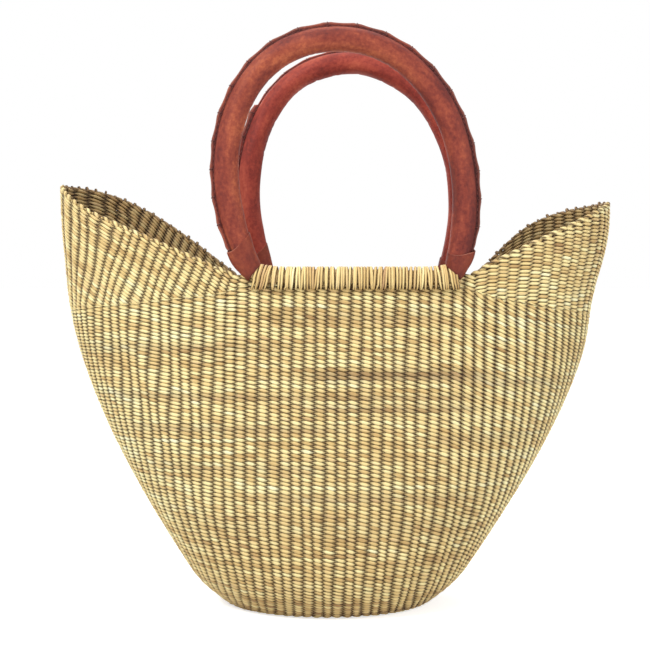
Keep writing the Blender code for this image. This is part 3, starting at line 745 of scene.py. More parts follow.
def twine_wall(tubes, turns, heights, places, centres, normals, pitches):
    """One row of the wall, with the colours and slants of its place."""
    patches = 0.5 * colour_patches(turns, heights) + base_shade_and_side_tone(centres)
    twine(tubes, centres, normals, places, pitches, brown_bands(centres), patches, stitch_slants(centres))


def body_row(tubes, share, pitch_share):
    places = numbered_turns(share)
    wanted = sample_places(places)
    turns = np.interp(wanted, places, DENSE_TURNS)
    heights = row_heights(turns, share)
    drift = ROW_WANDER * row_drift(turns, heights)
    heights = np.maximum(heights + drift * np.clip(heights / 0.02, 0.0, 1.0), 0.0)
    centres, normals = mid_surface(turns, heights)
    step = row_heights(turns, share + pitch_share) - row_heights(turns, share)
    rise = mid_surface(turns, heights + step)[0] - centres
    pitches = np.linalg.norm(square_to(rise, unit(np.gradient(centres, axis=0))), axis=1)
    if heights.max() < EDGE_TURN_HEIGHT:
        lean = np.clip(heights / 0.010, 0.0, 1.0)[:, None]
        normals = unit(normals * (0.35 + 0.65 * lean) + np.array([0.0, 0.0, -0.65]) * (1.0 - lean))
        centres = wall_points(turns, heights) - normals * WALL_THICKNESS / 2
    twine_wall(tubes, turns, heights, wanted, centres, normals, pitches)


def make_body(material):
    shares = row_shares()
    edges = np.concatenate((shares, [1.0]))
    items = []
    for number, band in enumerate(np.array_split(np.arange(len(shares)), BODY_BANDS), 1):
        tubes = Tubes()
        for row in band:
            body_row(tubes, shares[row], edges[row + 1] - shares[row])
        items.append(tubes.build(f"body_weave_{number}", material, "basket"))
    return items


def wing_row(tubes, end, turns, tops, seam_numbers, drop):
    """One row of a wing: parallel to its rim, its ends tucked in behind the rows under the seam."""
    heights = tops - drop
    above = heights - np.interp(turns, DENSE_TURNS, WALL_TOPS)
    inside = above > -1.2 * WING_ROW_PITCH
    if np.count_nonzero(inside) < 12:
        return
    turns, heights, above = turns[inside], heights[inside], above[inside]
    away = np.abs(turns - TIP_TURNS[end])
    lean = math.tan(math.radians(WING_LEAN_DEGREES[end])) * np.clip(2.2 * away / away.max(), 0.0, 1.0)
    length = 4.0 * look_up(PLAN_TABLE[2], np.zeros(len(turns)), heights)
    slide = np.minimum(np.maximum(above, 0.0) * lean / length, away)
    foot = turns + np.sign(TIP_TURNS[end] - turns) * slide
    places = np.interp(foot, DENSE_TURNS, seam_numbers) + STAKE_WANDER * stake_drift(turns, heights)
    places = np.maximum.accumulate(places + np.arange(len(places)) * 1e-9)
    wanted = sample_places(places)
    if len(wanted) < 2 * SAMPLES_PER_STAKE:
        return
    at, z, above = (np.interp(wanted, places, values) for values in (turns, heights, above))
    z = z + WING_ROW_WANDER * row_drift(at, z)
    sink = ease(np.clip(0.25 - above / (1.5 * WING_ROW_PITCH), 0.0, 1.0))
    centres, normals = mid_surface(at, z)
    centres = centres - normals * (WING_SINK_DEPTH * sink)[:, None]
    slope = unit(np.gradient(centres, axis=0))[:, 2]
    pitches = WING_ROW_PITCH * np.sqrt(1.0 - np.minimum(slope * slope, 0.5))
    twine_wall(tubes, at, z, wanted, centres, normals, pitches)


def make_wing(end, material):
    """Rows from behind the rim down to the seam, run on past the rim's ends to the foot of the bars."""
    start = turn_from_tip(wing_start_x(end))
    reach = turn_from_tip(wing_start_x(end) - WING_END_REACH)
    turns = TIP_TURNS[end] + np.linspace(-reach, reach, DENSE_SAMPLES // 2)
    past = np.maximum(np.abs(turns - TIP_TURNS[end]) - start, 0.0) / (reach - start)
    seam_numbers = numbered_turns(1.0)
    depth = TIP_HEIGHTS[end] - float(np.interp(TIP_TURNS[end], DENSE_TURNS, WALL_TOPS))
    count = int(depth / WING_ROW_PITCH) + 1
    tubes = Tubes()
    for row in range(-1, count):
        tops = rim_heights(end, turns, min(1.0 - row / count, 1.0)) - 2 * RIM_RADIUS - WING_END_DIP * past
        wing_row(tubes, end, turns, tops, seam_numbers, (row + 0.4) * WING_ROW_PITCH)
    return tubes.build(f"{END_NAMES[end]}_wing_weave", material, "basket")


def make_base(material):
    """Rings of twining on the flat bottom, from the edge to the middle."""
    tubes = Tubes()
    centre = np.array([side_lean(0.0), 0.0, 0.0])
    radius = (BASE_HALF_WIDTH + BASE_HALF_DEPTH) / 2
    for ring in range(int(radius / BASE_RING_PITCH)):
        size = 1.0 - (ring + 0.5) * BASE_RING_PITCH / radius
        stakes = next(count for least, count in BASE_STAKES if size > least)
        wanted = np.arange(stakes * SAMPLES_PER_STAKE + 1) / SAMPLES_PER_STAKE
        turns = 0.25 + wanted / stakes
        spokes = wall_points(turns, 0.0) - centre
        centres = centre + spokes * size
        centres[:, 2] = WALL_THICKNESS / 2
        normals = np.broadcast_to((0.0, 0.0, -1.0), centres.shape)
        pitches = np.linalg.norm(spokes, axis=1) * BASE_RING_PITCH / radius
        slants = np.full(len(wanted), STITCH_SLANT_SHARE)
        twine(tubes, centres, normals, wanted, pitches, 0.0, colour_patches(turns, size * 0.06), slants)
    return tubes.build("base_weave", material, "basket")


def rim_frames(end):
    """The middle of a wing's rolled rim with outward and up there, closely spaced along the rim."""
    reach = turn_from_tip(wing_start_x(end))
    turns = TIP_TURNS[end] + np.linspace(-reach, reach, DENSE_SAMPLES)
    heights = rim_heights(end, turns, 1.0) - 2 * RIM_RADIUS - RIM_GAP
    edge = wall_points(turns, heights)
    forward = unit(np.gradient(edge, axis=0))
    lift = unit(square_to(edge - wall_points(turns, heights - RIM_RADIUS), forward))
    outward = np.cross(forward, lift)
    middle = edge + lift * (RIM_GAP + RIM_RADIUS) - outward * WALL_THICKNESS / 2
    return middle, outward, lift, on_back(end, turns)


def fold_stake(tubes, arc, line, place, pitch, back_share):
    """A stake's end bent over the roll: up inside, over the top, and slanting down outside."""
    share = np.linspace(0.0, 1.0, LUMP_SAMPLES)
    at = place + pitch * LUMP_LEAN_SHARE * (share - 0.5) + pitch * 0.05 * random.normal()
    angle = np.radians(LUMP_START_DEGREES + (LUMP_END_DEGREES - LUMP_START_DEGREES) * share)[:, None]
    roll = FRONT_ROLL_RADIUS + (BACK_ROLL_RADIUS - FRONT_ROLL_RADIUS) * back_share
    roll *= 1.0 + 0.06 * random.normal()
    middle, out_ways, up_ways = (read_along(at, arc, values) for values in line)
    radial = up_ways * np.sin(angle) - out_ways * np.cos(angle)
    centres = middle + up_ways * LUMP_RISE * (1.0 - back_share) + radial * roll
    sizes = LUMP_RADIUS * (0.62 + 0.38 * np.sin(math.pi * share)) * (1.0 + 0.06 * random.normal())
    # Painted shade: folds on the back rim are darker and browner, and each fold is browner where it starts
    # inside the wall.
    tint = 0.52 - 0.18 * back_share + 0.14 * random.normal()
    brown = 0.08 + 0.62 * back_share + 0.30 * (1.0 - share)
    tubes.add(centres, unit(radial), sizes * 1.15, sizes * 0.85, tint, brown, 0.0)


def end_stub(tubes, arc, line, place):
    """The cut end of a stake, standing up blunt and dark out of a back rim."""
    foot, outward, up = (read_along(place, arc, values) for values in line)
    along = unit(read_along(place + 0.001, arc, line[0]) - foot)
    tilt = up + 0.3 * along * (0.8 + 0.4 * random.normal()) + 0.06 * random.normal(0.0, 1.0, 3)
    share = np.linspace(0.0, 1.0, STUB_SAMPLES)
    length = STUB_LENGTH * (1.0 + 0.16 * random.normal())
    centres = foot + unit(tilt) * (length * share)[:, None]
    sizes = STUB_RADIUS * (1.0 - 0.45 * share ** 4) * (1.0 + 0.12 * random.normal())
    # Painted shade: the stub is coloured dark, as the back rim is in shade, and darkens towards its tip.
    tubes.add(centres, np.broadcast_to(outward, centres.shape), sizes, sizes, 0.30, 1.15, share * 0.15)


def make_rim_border(end, material):
    """A stake's fold at every pitch of a wing's rim, with the cut stubs of the back rim between."""
    *line, behind = rim_frames(end)
    arc = arc_lengths(line[0])
    count = int(round(arc[-1] / LUMP_PITCH))
    pitch = arc[-1] / count
    tubes = Tubes(8)
    for number in range(count):
        place = (number + 0.5) * pitch
        back_share = float(np.interp(place, arc, behind.astype(float)))
        fold_stake(tubes, arc, line, place, pitch, back_share)
        if back_share > 0.5 and STUB_START < place < arc[-1] - STUB_START:
            end_stub(tubes, arc, line, place + 0.4 * pitch)
    return tubes.build(f"{END_NAMES[end]}_rim_border", material, "basket")


def whip_section(angle):
    """Outward and up from the bar's axis, round the bar and the wall's top rows below it."""
    cosine = np.cos(angle)
    sine = np.sin(angle)
    out = np.sign(cosine) * np.abs(cosine) ** (2.0 / WHIP_POWER)
    down = np.abs(sine) ** (2.0 / WHIP_POWER)
    above = sine >= 0.0
    return (WHIP_SIDE_REACH * np.where(above, cosine, out),
            np.where(above, WHIP_SIDE_REACH * sine, -WHIP_BOTTOM_REACH * down))


def make_whipping(side, material):
    """One straw wound close round a bar, bunched in the holes below it and fanned over the feet."""
    turns = int(round(2 * WHIP_REACH / WHIP_PITCH))
    done = np.arange(turns * WHIP_SAMPLES + 1) / WHIP_SAMPLES
    angle = 2.0 * math.pi * done + math.pi / 2
    low = (1.0 - np.sin(angle)) / 2
    along = WHIP_REACH * (2.0 * done / turns - 1.0)
    along = along + WHIP_WANDER * wavering(2.0 * done, 2 * turns + 2)
    hole = (np.round(along / WHIP_HOLE_PITCH - 0.5) + 0.5) * WHIP_HOLE_PITCH
    along = along + (hole - along) * WHIP_BUNCH_SHARE * low ** 3
    end_share = ramp_up(np.abs(along), WHIP_FAN_START, WHIP_REACH - WHIP_FAN_START)
    fan = np.where(along < 0.0, WHIP_FANS[LEFT], WHIP_FANS[RIGHT])
    along = along + fan * end_share * low ** 1.1
    out, up = whip_section(angle)
    up = up + WHIP_FOOT_RISE * end_share ** 2 * (1.0 - low) ** 2
    out = out * (1.0 + 0.035 * wavering(2.0 * done, 2 * turns + 2))
    places = (BAR_CENTRES[side] + along, side * (BAR_AXIS_Y + out), BAR_HEIGHTS[side] + up)
    facing = np.stack([np.zeros(len(done)), side * np.cos(angle), np.sin(angle)], axis=-1)
    splices = spliced_tints(turns + 1, 2, 7)[done.astype(int)]
    tints = WHIP_TINT + 0.20 * splices + 0.13 * wavering(done, turns + 1)
    widths = WHIP_HALF_WIDTH * (1.0 - 0.10 * low ** 2)
    thicknesses = np.full(len(done), WHIP_HALF_THICKNESS)
    tubes = Tubes(8)
    # Painted shade: darker on the bar's underside, where the straw passes down into the wall.
    tubes.add(np.stack(places, axis=-1), facing, widths, thicknesses, tints, 0.10, 0.65 * low ** 5)
    return tubes.build(f"{SIDE_NAMES[side]}_bar_whipping", material, "basket")


def handle_line(side):
    """Middle line of a whole handle from left pin tip to right pin tip, in (x, z) from its hinge."""
    half_span = HANDLE_HALF_WIDTHS[side]
    bend = np.radians(BEND_DEGREES) * np.linspace(0.0, 1.0, 16)
    curve = BEND_RADIUS * np.stack([np.sin(bend), 1.0 - np.cos(bend)], axis=-1) + (BEND_START_REACH, 0.0)
    foot = curve[-1]
    top = np.array([half_span, HANDLE_WIDEST_HEIGHT])
    pull = np.linalg.norm(top - foot) / 3.0
    foot_pull = foot + np.array([math.cos(bend[-1]), math.sin(bend[-1])]) * pull
    top_pull = top - (0.0, pull)
    t = np.linspace(0.0, 1.0, 61)[1:, None]
    s = 1.0 - t
    leg = foot * s ** 3 + foot_pull * 3 * s * s * t + top_pull * 3 * s * t * t + top * t ** 3
    angle = np.linspace(0.0, math.pi / 2, 121)[1:]
    across = half_span * np.abs(np.cos(angle)) ** (2.0 / HANDLE_ARCH_POWER)
    climb = (HANDLE_RISES[side] - HANDLE_WIDEST_HEIGHT) * np.sin(angle) ** (2.0 / HANDLE_ARCH_POWER)
    arch = np.stack([across, HANDLE_WIDEST_HEIGHT + climb], axis=-1)
    half = np.concatenate([[(PIN_TIP_REACH, 0.0)], curve, leg, arch])
    whole = np.concatenate([half * (-1.0, 1.0), half[-2::-1]])
    whole[:, 0] -= HANDLE_LEANS[side] * (whole[:, 1] / HANDLE_RISES[side]) ** LEAN_POWERS[side]
    return whole


def core_radii(line):
    """Radius of the straw rope inside the leather, thin in the pins and swelling up the feet."""
    in_bar = (np.abs(line[:, 0]) <= BEND_START_REACH) & (line[:, 1] < BEND_RADIUS)
    share = np.where(in_bar, 0.0, np.minimum(line[:, 1] / FOOT_TAPER_HEIGHT, 1.0))
    return BAR_CORE_RADIUS + (HANDLE_CORE_RADIUS - BAR_CORE_RADIUS) * share


class HandlePath:
    """The middle line of a handle from foot to foot, read at distances along it."""

    def __init__(self, side, low):
        line = handle_line(side)
        crown = int(np.argmax(line[:, 1]))
        first = np.argmax(line[:crown, 1] >= low)
        last = len(line) - 1 - np.argmax(line[::-1, 1] >= low)
        self.line = line[first:last + 1]
        self.arc = arc_lengths(self.line)
        self.length = self.arc[-1]
        self.side = side
        self.tangents = unit(np.gradient(self.line, self.arc, axis=0))

    def at(self, s, out, across):
        """World points at distance s along, out of the arch and across the handle's plane."""
        x, z = (np.interp(s, self.arc, column) for column in self.line.T)
        tangent = unit(read_along(s, self.arc, self.tangents))
        return np.stack([
            BAR_CENTRES[self.side] + x - tangent[..., 1] * out,
            self.side * BAR_AXIS_Y + across,
            BAR_HEIGHTS[self.side] + z + tangent[..., 0] * out,
        ], axis=-1)

    def height(self, s):
        return np.interp(s, self.arc, self.line[:, 1])

    def outer_radius(self, s):
        return np.interp(s, self.arc, core_radii(self.line)) + FIT_GAP + LEATHER_THICKNESS


def flange_reach(path, s):
    """Share of the stitched flange at s, and its reach: straight chords between laced points."""
    height = path.height(s)
    fade = np.clip((height - FLANGE_END_HEIGHT) / FLANGE_TAPER, 0.0, 1.0)
    whole = FLANGE_REACHES[path.side] + FLANGE_LOW_EXTRAS[path.side] * (height < FLANGE_CHANGE_HEIGHT)
    place = s / SCALLOP_PITCH
    bow = np.abs(np.sin(math.pi * (place - 0.5)))
    from_lace = (np.mod(place, 1.0) - 0.5) * SCALLOP_PITCH
    notch = LACE_NOTCH * np.exp(-(from_lace / LACE_NOTCH_WIDTH) ** 2)
    return fade, whole * (1.0 - CHORD_SAG_SHARE * bow) - notch


def mirrored(values, sign):
    """Values of one lip of the flange, then of the other lip back again."""
    return np.concatenate([sign * values, values[::-1]])


def leather_grain(s, radius, angles, shift):
    """Texture coordinates in millimetres along and round a tube, shifted from piece to piece."""
    places = (s, radius * np.cos(angles), radius * np.sin(angles))
    return 1000.0 * np.stack(np.broadcast_arrays(*places), axis=-1) + shift


def make_sleeve(side, material):
    """Leather folded round the core, its two edges stitched together in a flange outside."""
    path = HandlePath(side, SLEEVE_START_HEIGHT)
    s = np.linspace(0.0, path.length, int(path.length / SLEEVE_STEP) + 1)[:, None]
    radius = path.outer_radius(s)
    fade, reach = flange_reach(path, s)
    foot = math.radians(FLANGE_FOOT_DEGREES)
    lip_angles, lip_outs, lip_sides, lip_groove_shades = np.array(LIP).T
    around = np.linspace(foot, 2.0 * math.pi - foot, SLEEVE_ARC_POINTS)
    angles = np.concatenate([around, foot * mirrored(lip_angles, -1.0)])
    lips = slice(SLEEVE_ARC_POINTS, None)
    out = radius * np.cos(angles)
    across = radius * np.sin(angles)
    out[:, lips] += (radius * 0.985 + reach * mirrored(lip_outs, 1.0) - out[:, lips]) * fade
    across[:, lips] += (FLANGE_HALF_THICKNESS * mirrored(lip_sides, -1.0) - across[:, lips]) * fade
    swell = np.zeros(out.shape)
    for along, turns, phase, size in random.normal(0.0, 1.0, (SWELL_WAVES, 4)):
        wave = np.sin(s * (55.0 + 45.0 * along) + np.round(2.0 * turns) * angles + 3.0 * phase)
        swell += SWELL_SIZE * size * wave
    swell += crown_creases(path, s, angles)
    swell[:, lips] = 0.0
    out += swell * np.cos(angles)
    across += swell * np.sin(angles)
    # Painted shade: dark in the groove at the flange's root and at each laced pinch, and over the whole
    # flange.
    groove = np.concatenate([np.zeros(SLEEVE_ARC_POINTS), mirrored(lip_groove_shades, 1.0)])
    groove[[0, SLEEVE_ARC_POINTS - 1]] = 0.55
    laced = np.exp(-((np.mod(s / SCALLOP_PITCH, 1.0) - 0.5) * SCALLOP_PITCH / LACE_MARK_WIDTH) ** 2)
    looks = np.zeros((*out.shape, 4))
    looks[:, lips, 0] = fade
    looks[:, :, 1] = groove * fade
    looks[:, lips, 1] += 0.5 * (laced * fade)
    # Painted highlight: a pale line down the front handle's right leg.
    looks[:, :, 2] = edge_highlight_line(side, s / path.length, angles)
    # The flange's outer edge is paler: partly the cut edge's own colour, partly painted highlight.
    looks[:, SLEEVE_ARC_POINTS + 3:-3, 2] += FLANGE_PALE_SHARE * fade
    looks[:, :, 3] = 1.0 - RIGHT_LEG_DIMS[side] * ramp_up(s / path.length, 0.55, 0.25)
    tubes = Tubes(len(angles))
    grain = leather_grain(s, radius, angles, (0.0, 0.0, 500.0 * side))
    tubes.add_rings(path.at(s, out, across), looks, grain)
    name = SIDE_NAMES[side]
    return tubes.build(f"{name}_handle_sleeve", material, f"{name}_handle")


def crown_creases(path, s, angles):
    """Shallow folds across the inner side of the arch, where bending presses the leather together."""
    inner = np.maximum(-np.cos(angles), 0.0) ** 0.7
    creases = np.zeros((len(s), len(angles)))
    for _ in range(CREASES):
        at = random.uniform(0.18, 0.82) * path.length
        depth = random.uniform(0.00010, 0.00034)
        width = random.uniform(0.0007, 0.0016)
        slant = random.normal(0.0, 0.0018)
        creases -= depth * np.exp(-((s - at - slant * np.sin(angles)) / width) ** 2) * inner
    return creases


def edge_highlight_line(side, share, angles):
    """A painted highlight: a pale line down the front handle's right leg, towards its inner side."""
    if side == BACK:
        return 0.0
    middle = math.radians(HIGHLIGHT_SIDE_DEGREES)
    along = np.exp(-((share - 0.88) / 0.07) ** 2)
    return 0.22 * along * np.exp(-((angles - middle) / 0.05) ** 2)


def flange_places(path, pitch, least):
    """Where to stitch: distances along a handle, every pitch, with at least a share of the flange."""
    places = np.arange(0.5, path.length / pitch) * pitch
    fade, reach = flange_reach(path, places)
    tall = fade >= least
    return zip(places[tall], fade[tall], reach[tall])


def make_stitching(side, material):
    """Dark lacing round the flange at every scallop, and the thread between in its groove."""
    path = HandlePath(side, SLEEVE_START_HEIGHT)
    tubes = Tubes(6)
    angle = np.linspace(0.0, 2.0 * math.pi, LACE_STEPS)
    half = FLANGE_HALF_THICKNESS + THREAD_RADIUS * 0.4
    across = half * np.sign(np.sin(angle)) * np.abs(np.sin(angle)) ** 0.6
    sizes = np.full(LACE_STEPS - 1, THREAD_RADIUS)
    for place, fade, reach in flange_places(path, SCALLOP_PITCH, 0.3):
        half_reach = reach * fade * 0.5
        out = path.outer_radius(place) + half_reach + (half_reach + THREAD_RADIUS * 0.6) * np.cos(angle)
        s = place + 0.0011 * np.sin(angle / 2)
        centres = path.at(s, out, across)
        facing = path.at(s, out + 0.001 * np.cos(angle), across + 0.001 * np.sin(angle)) - centres
        tubes.add(centres[:-1], unit(facing[:-1]), sizes, sizes, 0.1, 0.0, 0.0)
    share = np.linspace(-1.0, 1.0, 6)
    sizes = THREAD_RADIUS * 0.8 * (1.0 - 0.4 * share * share)
    for face in (-1.0, 1.0):
        across = face * (FLANGE_HALF_THICKNESS * FLANGE_PINCH_SHARE + 0.00025 * (1.0 - share * share))
        for place, _, reach in flange_places(path, SCALLOP_PITCH / STITCHES_PER_SCALLOP, 0.9):
            out = path.outer_radius(place) + 0.10 * reach
            centres = path.at(place + share * STITCH_HALF_LENGTH, out, across)
            facing = np.broadcast_to((0.0, face, 0.0), centres.shape)
            tubes.add(centres, facing, sizes, sizes, 0.1, 0.0, 0.0)
    name = SIDE_NAMES[side]
    return tubes.build(f"{name}_handle_stitching", material, f"{name}_handle")


def make_collar(side, end, material):
    """A leather patch round a foot: slanting raw top edge, and a pointed tongue over the bar's end."""
    path = HandlePath(side, 0.0008)
    from_foot = np.linspace(0.0, 0.06, 241)
    heights = path.height(from_foot if end == LEFT else path.length - from_foot)
    start = BEND_RADIUS * (1.0 - math.cos(math.radians(COLLAR_START_DEGREES)))
    low, high = np.interp((start, COLLAR_TOP_HEIGHT), heights, from_foot)
    angles = 2.0 * math.pi * np.arange(COLLAR_POINTS) / COLLAR_POINTS
    seam = np.maximum(np.cos(angles), 0.0)
    bottom = low - COLLAR_V_REACH * seam ** 3
    slant = COLLAR_SLANTS[end] * (np.cos(angles - 2.0 * math.pi * COLLAR_SLANT_TURNS[end]) - 1.0)
    top = high - COLLAR_DROPS[end] + slant
    share = np.linspace(0.0, 1.0, COLLAR_RINGS)
    shares = np.concatenate([share, share[::-1]])[:, None]
    lifts = COLLAR_LIFT * np.repeat((1.0, 0.25), COLLAR_RINGS)[:, None]
    lifts[COLLAR_RINGS - 1] *= 0.75
    up = bottom + (top - bottom) * shares
    s = up if end == LEFT else path.length - up
    thin = np.clip(up / 0.012, 0.0, 1.0)
    fold = COLLAR_FOLD * np.sin(3.0 * angles + COLLAR_FOLD_RATE * up + side)
    bulge = COLLAR_SEAM_BULGES[side] * seam ** 4 * ramp_up(up, 0.0, 0.022)
    radius = path.outer_radius(s) - 0.0002 - LEATHER_THICKNESS * 0.6 * (1.0 - thin)
    radius = radius + lifts + fold * np.sin(math.pi * shares) + bulge
    worn = np.clip(1.8 * np.cos(angles - math.radians(COLLAR_WORN_DEGREES[end])) - 0.8, 0.0, 1.0)
    looks = np.zeros((*radius.shape, 4))
    # Painted shade: darker along the patch's lower edges.
    looks[:, :, 1] = 0.5 * np.exp(-(shares * 9.0) ** 2)
    looks[:, :, 2] = 0.5 * np.exp(-((1.0 - shares) * 50.0) ** 2) * worn
    looks[:, :, 3] = COLLAR_TONES[end]
    places = path.at(s, radius * np.cos(angles), radius * np.sin(angles))
    tubes = Tubes(COLLAR_POINTS)
    tubes.add_rings(places, looks, leather_grain(s, radius, angles, (300.0, 90.0 * end, 0.0)), joined=True)
    name = f"{SIDE_NAMES[side]}_{END_NAMES[end]}_collar"
    piece = tubes.build(f"{name}_patch", material, f"{SIDE_NAMES[side]}_handle")
    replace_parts(piece, name)


def srgb(*colour):
    """A colour as seen on screen, 0 to 255, as the linear colour that shaders take."""
    shares = [value / 255.0 for value in colour]
    linear = [share / 12.92 if share <= 0.04045 else ((share + 0.055) / 1.055) ** 2.4 for share in shares]
    return (*linear, 1.0)


class Nodes:
    """Short calls for building the node tree of a material or a world."""

    def __init__(self, owner):
        owner.use_nodes = True
        self.owner = owner
        self.tree = owner.node_tree

    def add(self, kind, inputs=None, **settings):
        node = self.tree.nodes.new(kind)
        for key, value in settings.items():
            setattr(node, key, value)
        self.feed(node, inputs or {})
        return node

    def feed(self, node, inputs):
        for key, value in inputs.items():
            if isinstance(value, bpy.types.NodeSocket):
                self.tree.links.new(value, node.inputs[key])
            else:
                node.inputs[key].default_value = value

    def surface(self, inputs):
        """Feeds the material's shader and gives the material back."""
        self.feed(self.tree.nodes["Principled BSDF"], inputs)
        return self.owner

    def math(self, operation, first, second, clamp=False):
        node = self.add("ShaderNodeMath", {0: first, 1: second}, operation=operation, use_clamp=clamp)
        return node.outputs[0]

    def around(self, value, middle, size):
        """A value's distance from its middle, scaled."""
        return self.math("MULTIPLY", self.math("SUBTRACT", value, middle), size)

    def mix(self, share, first, second, blend="MIX"):
        inputs = {0: share, 6: first, 7: second}
        return self.add("ShaderNodeMix", inputs, data_type="RGBA", blend_type=blend).outputs[2]

    def ramp(self, share, stops):
        node = self.add("ShaderNodeValToRGB", {"Fac": share})
        while len(node.color_ramp.elements) < len(stops):
            node.color_ramp.elements.new(0.5)
        for element, (place, colour) in zip(node.color_ramp.elements, stops):
            element.position = place
            element.color = colour
        return node.outputs["Color"]

    def noise(self, vector, scale, detail=2.0, roughness=0.5):
        inputs = {"Vector": vector, "Scale": scale, "Detail": detail, "Roughness": roughness}
        return self.add("ShaderNodeTexNoise", inputs).outputs["Fac"]

    def stretched(self, vector, sizes):
        return self.add("ShaderNodeVectorMath", {0: vector, 1: sizes}, operation="MULTIPLY").outputs[0]

    def bump(self, height, strength, distance):
        inputs = {"Strength": strength, "Distance": distance, "Height": height}
        return self.add("ShaderNodeBump", inputs).outputs["Normal"]

    def looks(self):
        """The painted attribute's four numbers and the coordinates that follow the piece."""
        look = self.add("ShaderNodeAttribute", attribute_name="weave")
        parts = self.add("ShaderNodeSeparateColor", {"Color": look.outputs["Color"]})
        fibre = self.add("ShaderNodeAttribute", attribute_name="fibre").outputs["Vector"]
        return (*(parts.outputs[name] for name in ("Red", "Green", "Blue")), look.outputs["Alpha"], fibre)

    def seen_directly(self):
        """1 for rays from the camera and for rays that glossy or clear surfaces send on."""
        rays = self.add("ShaderNodeLightPath").outputs
        direct = self.math("MAXIMUM", rays["Is Camera Ray"], rays["Is Glossy Ray"])
        return self.math("MAXIMUM", direct, rays["Is Transmission Ray"])


def straw_material(name, brown, dark, gloss=0.40):
    """Split straw: streaks along the fibre, brown rows, and painted shade: browner inner sides, dark strand
    edges and darkest between stitches.
    """
    nodes = Nodes(bpy.data.materials.new(name))
    tint, brown_and_shade, edge, end, fibre = nodes.looks()
    streak = nodes.noise(fibre, 1.0, 3.0, 0.6)
    patch = nodes.noise(fibre, 0.22, 2.0)
    tint = nodes.math("ADD", tint, nodes.around(streak, 0.5, 0.75))
    tint = nodes.math("ADD", tint, nodes.around(patch, 0.5, 0.5), clamp=True)
    colour = nodes.ramp(tint, (
        (0.00, srgb(166, 128, 76)),
        (0.25, srgb(212, 178, 112)),
        (0.52, srgb(244, 218, 150)),
        (0.78, srgb(254, 240, 176)),
        (1.00, srgb(255, 250, 204)),
    ))
    # Brown rows, mixed with painted shade on the inner sides and on the back rim.
    brown_and_shade_mix = nodes.math("MULTIPLY", brown_and_shade, nodes.math("ADD", streak, 0.45), clamp=True)
    colour = nodes.mix(brown_and_shade_mix, colour, brown)
    hue = nodes.noise(fibre, 0.12, 2.0)
    blush = nodes.math("MULTIPLY", nodes.math("SUBTRACT", hue, 0.55), 3.5, clamp=True)
    colour = nodes.mix(nodes.math("MULTIPLY", blush, 0.55), colour, srgb(208, 166, 128))
    # Painted shade: strand edges, and the stitches' corners, are multiplied towards the dark shade colour.
    rim = nodes.math("POWER", edge, 2.2)
    # Painted shade at the stitches' corners, strongest where a strand's edge meets a stitch's end.
    corner_shade = nodes.math("MULTIPLY", end, nodes.math("ADD", nodes.math("MULTIPLY", rim, 3.8), 0.10))
    painted_shade = nodes.math("ADD", nodes.math("MULTIPLY", rim, 1.05), corner_shade, clamp=True)
    colour = nodes.mix(painted_shade, colour, dark, "MULTIPLY")
    rough = nodes.math("ADD", nodes.math("MULTIPLY", streak, 0.25), gloss)
    rough = nodes.math("ADD", rough, nodes.math("MULTIPLY", painted_shade, 0.3), clamp=True)
    normal = nodes.bump(streak, 0.5, 0.00025)
    return nodes.surface({"Base Color": colour, "Roughness": rough, "Normal": normal})


def make_straws():
    return {
        # The last colour of each straw look is its painted shade colour.
        "straw": straw_material("straw_look", srgb(158, 124, 78), srgb(64, 42, 12)),
        "rim": straw_material("rim_straw_look", srgb(128, 100, 64), srgb(78, 54, 26)),
        "cord": straw_material("cord_look", srgb(150, 108, 66), srgb(78, 52, 24), gloss=0.36),
    }


def rope_material():
    """Twisted straw rope for the cores that the wrapping hides."""
    nodes = Nodes(bpy.data.materials.new("rope_look"))
    place = nodes.add("ShaderNodeTexCoord").outputs["Object"]
    streak = nodes.noise(nodes.stretched(place, (900.0, 160.0, 160.0)), 1.0, 3.0, 0.6)
    stops = ((0.34, srgb(132, 100, 58)), (0.5, srgb(214, 182, 126)), (0.7, srgb(240, 216, 162)))
    return nodes.surface({"Base Color": nodes.ramp(streak, stops), "Roughness": 0.7})


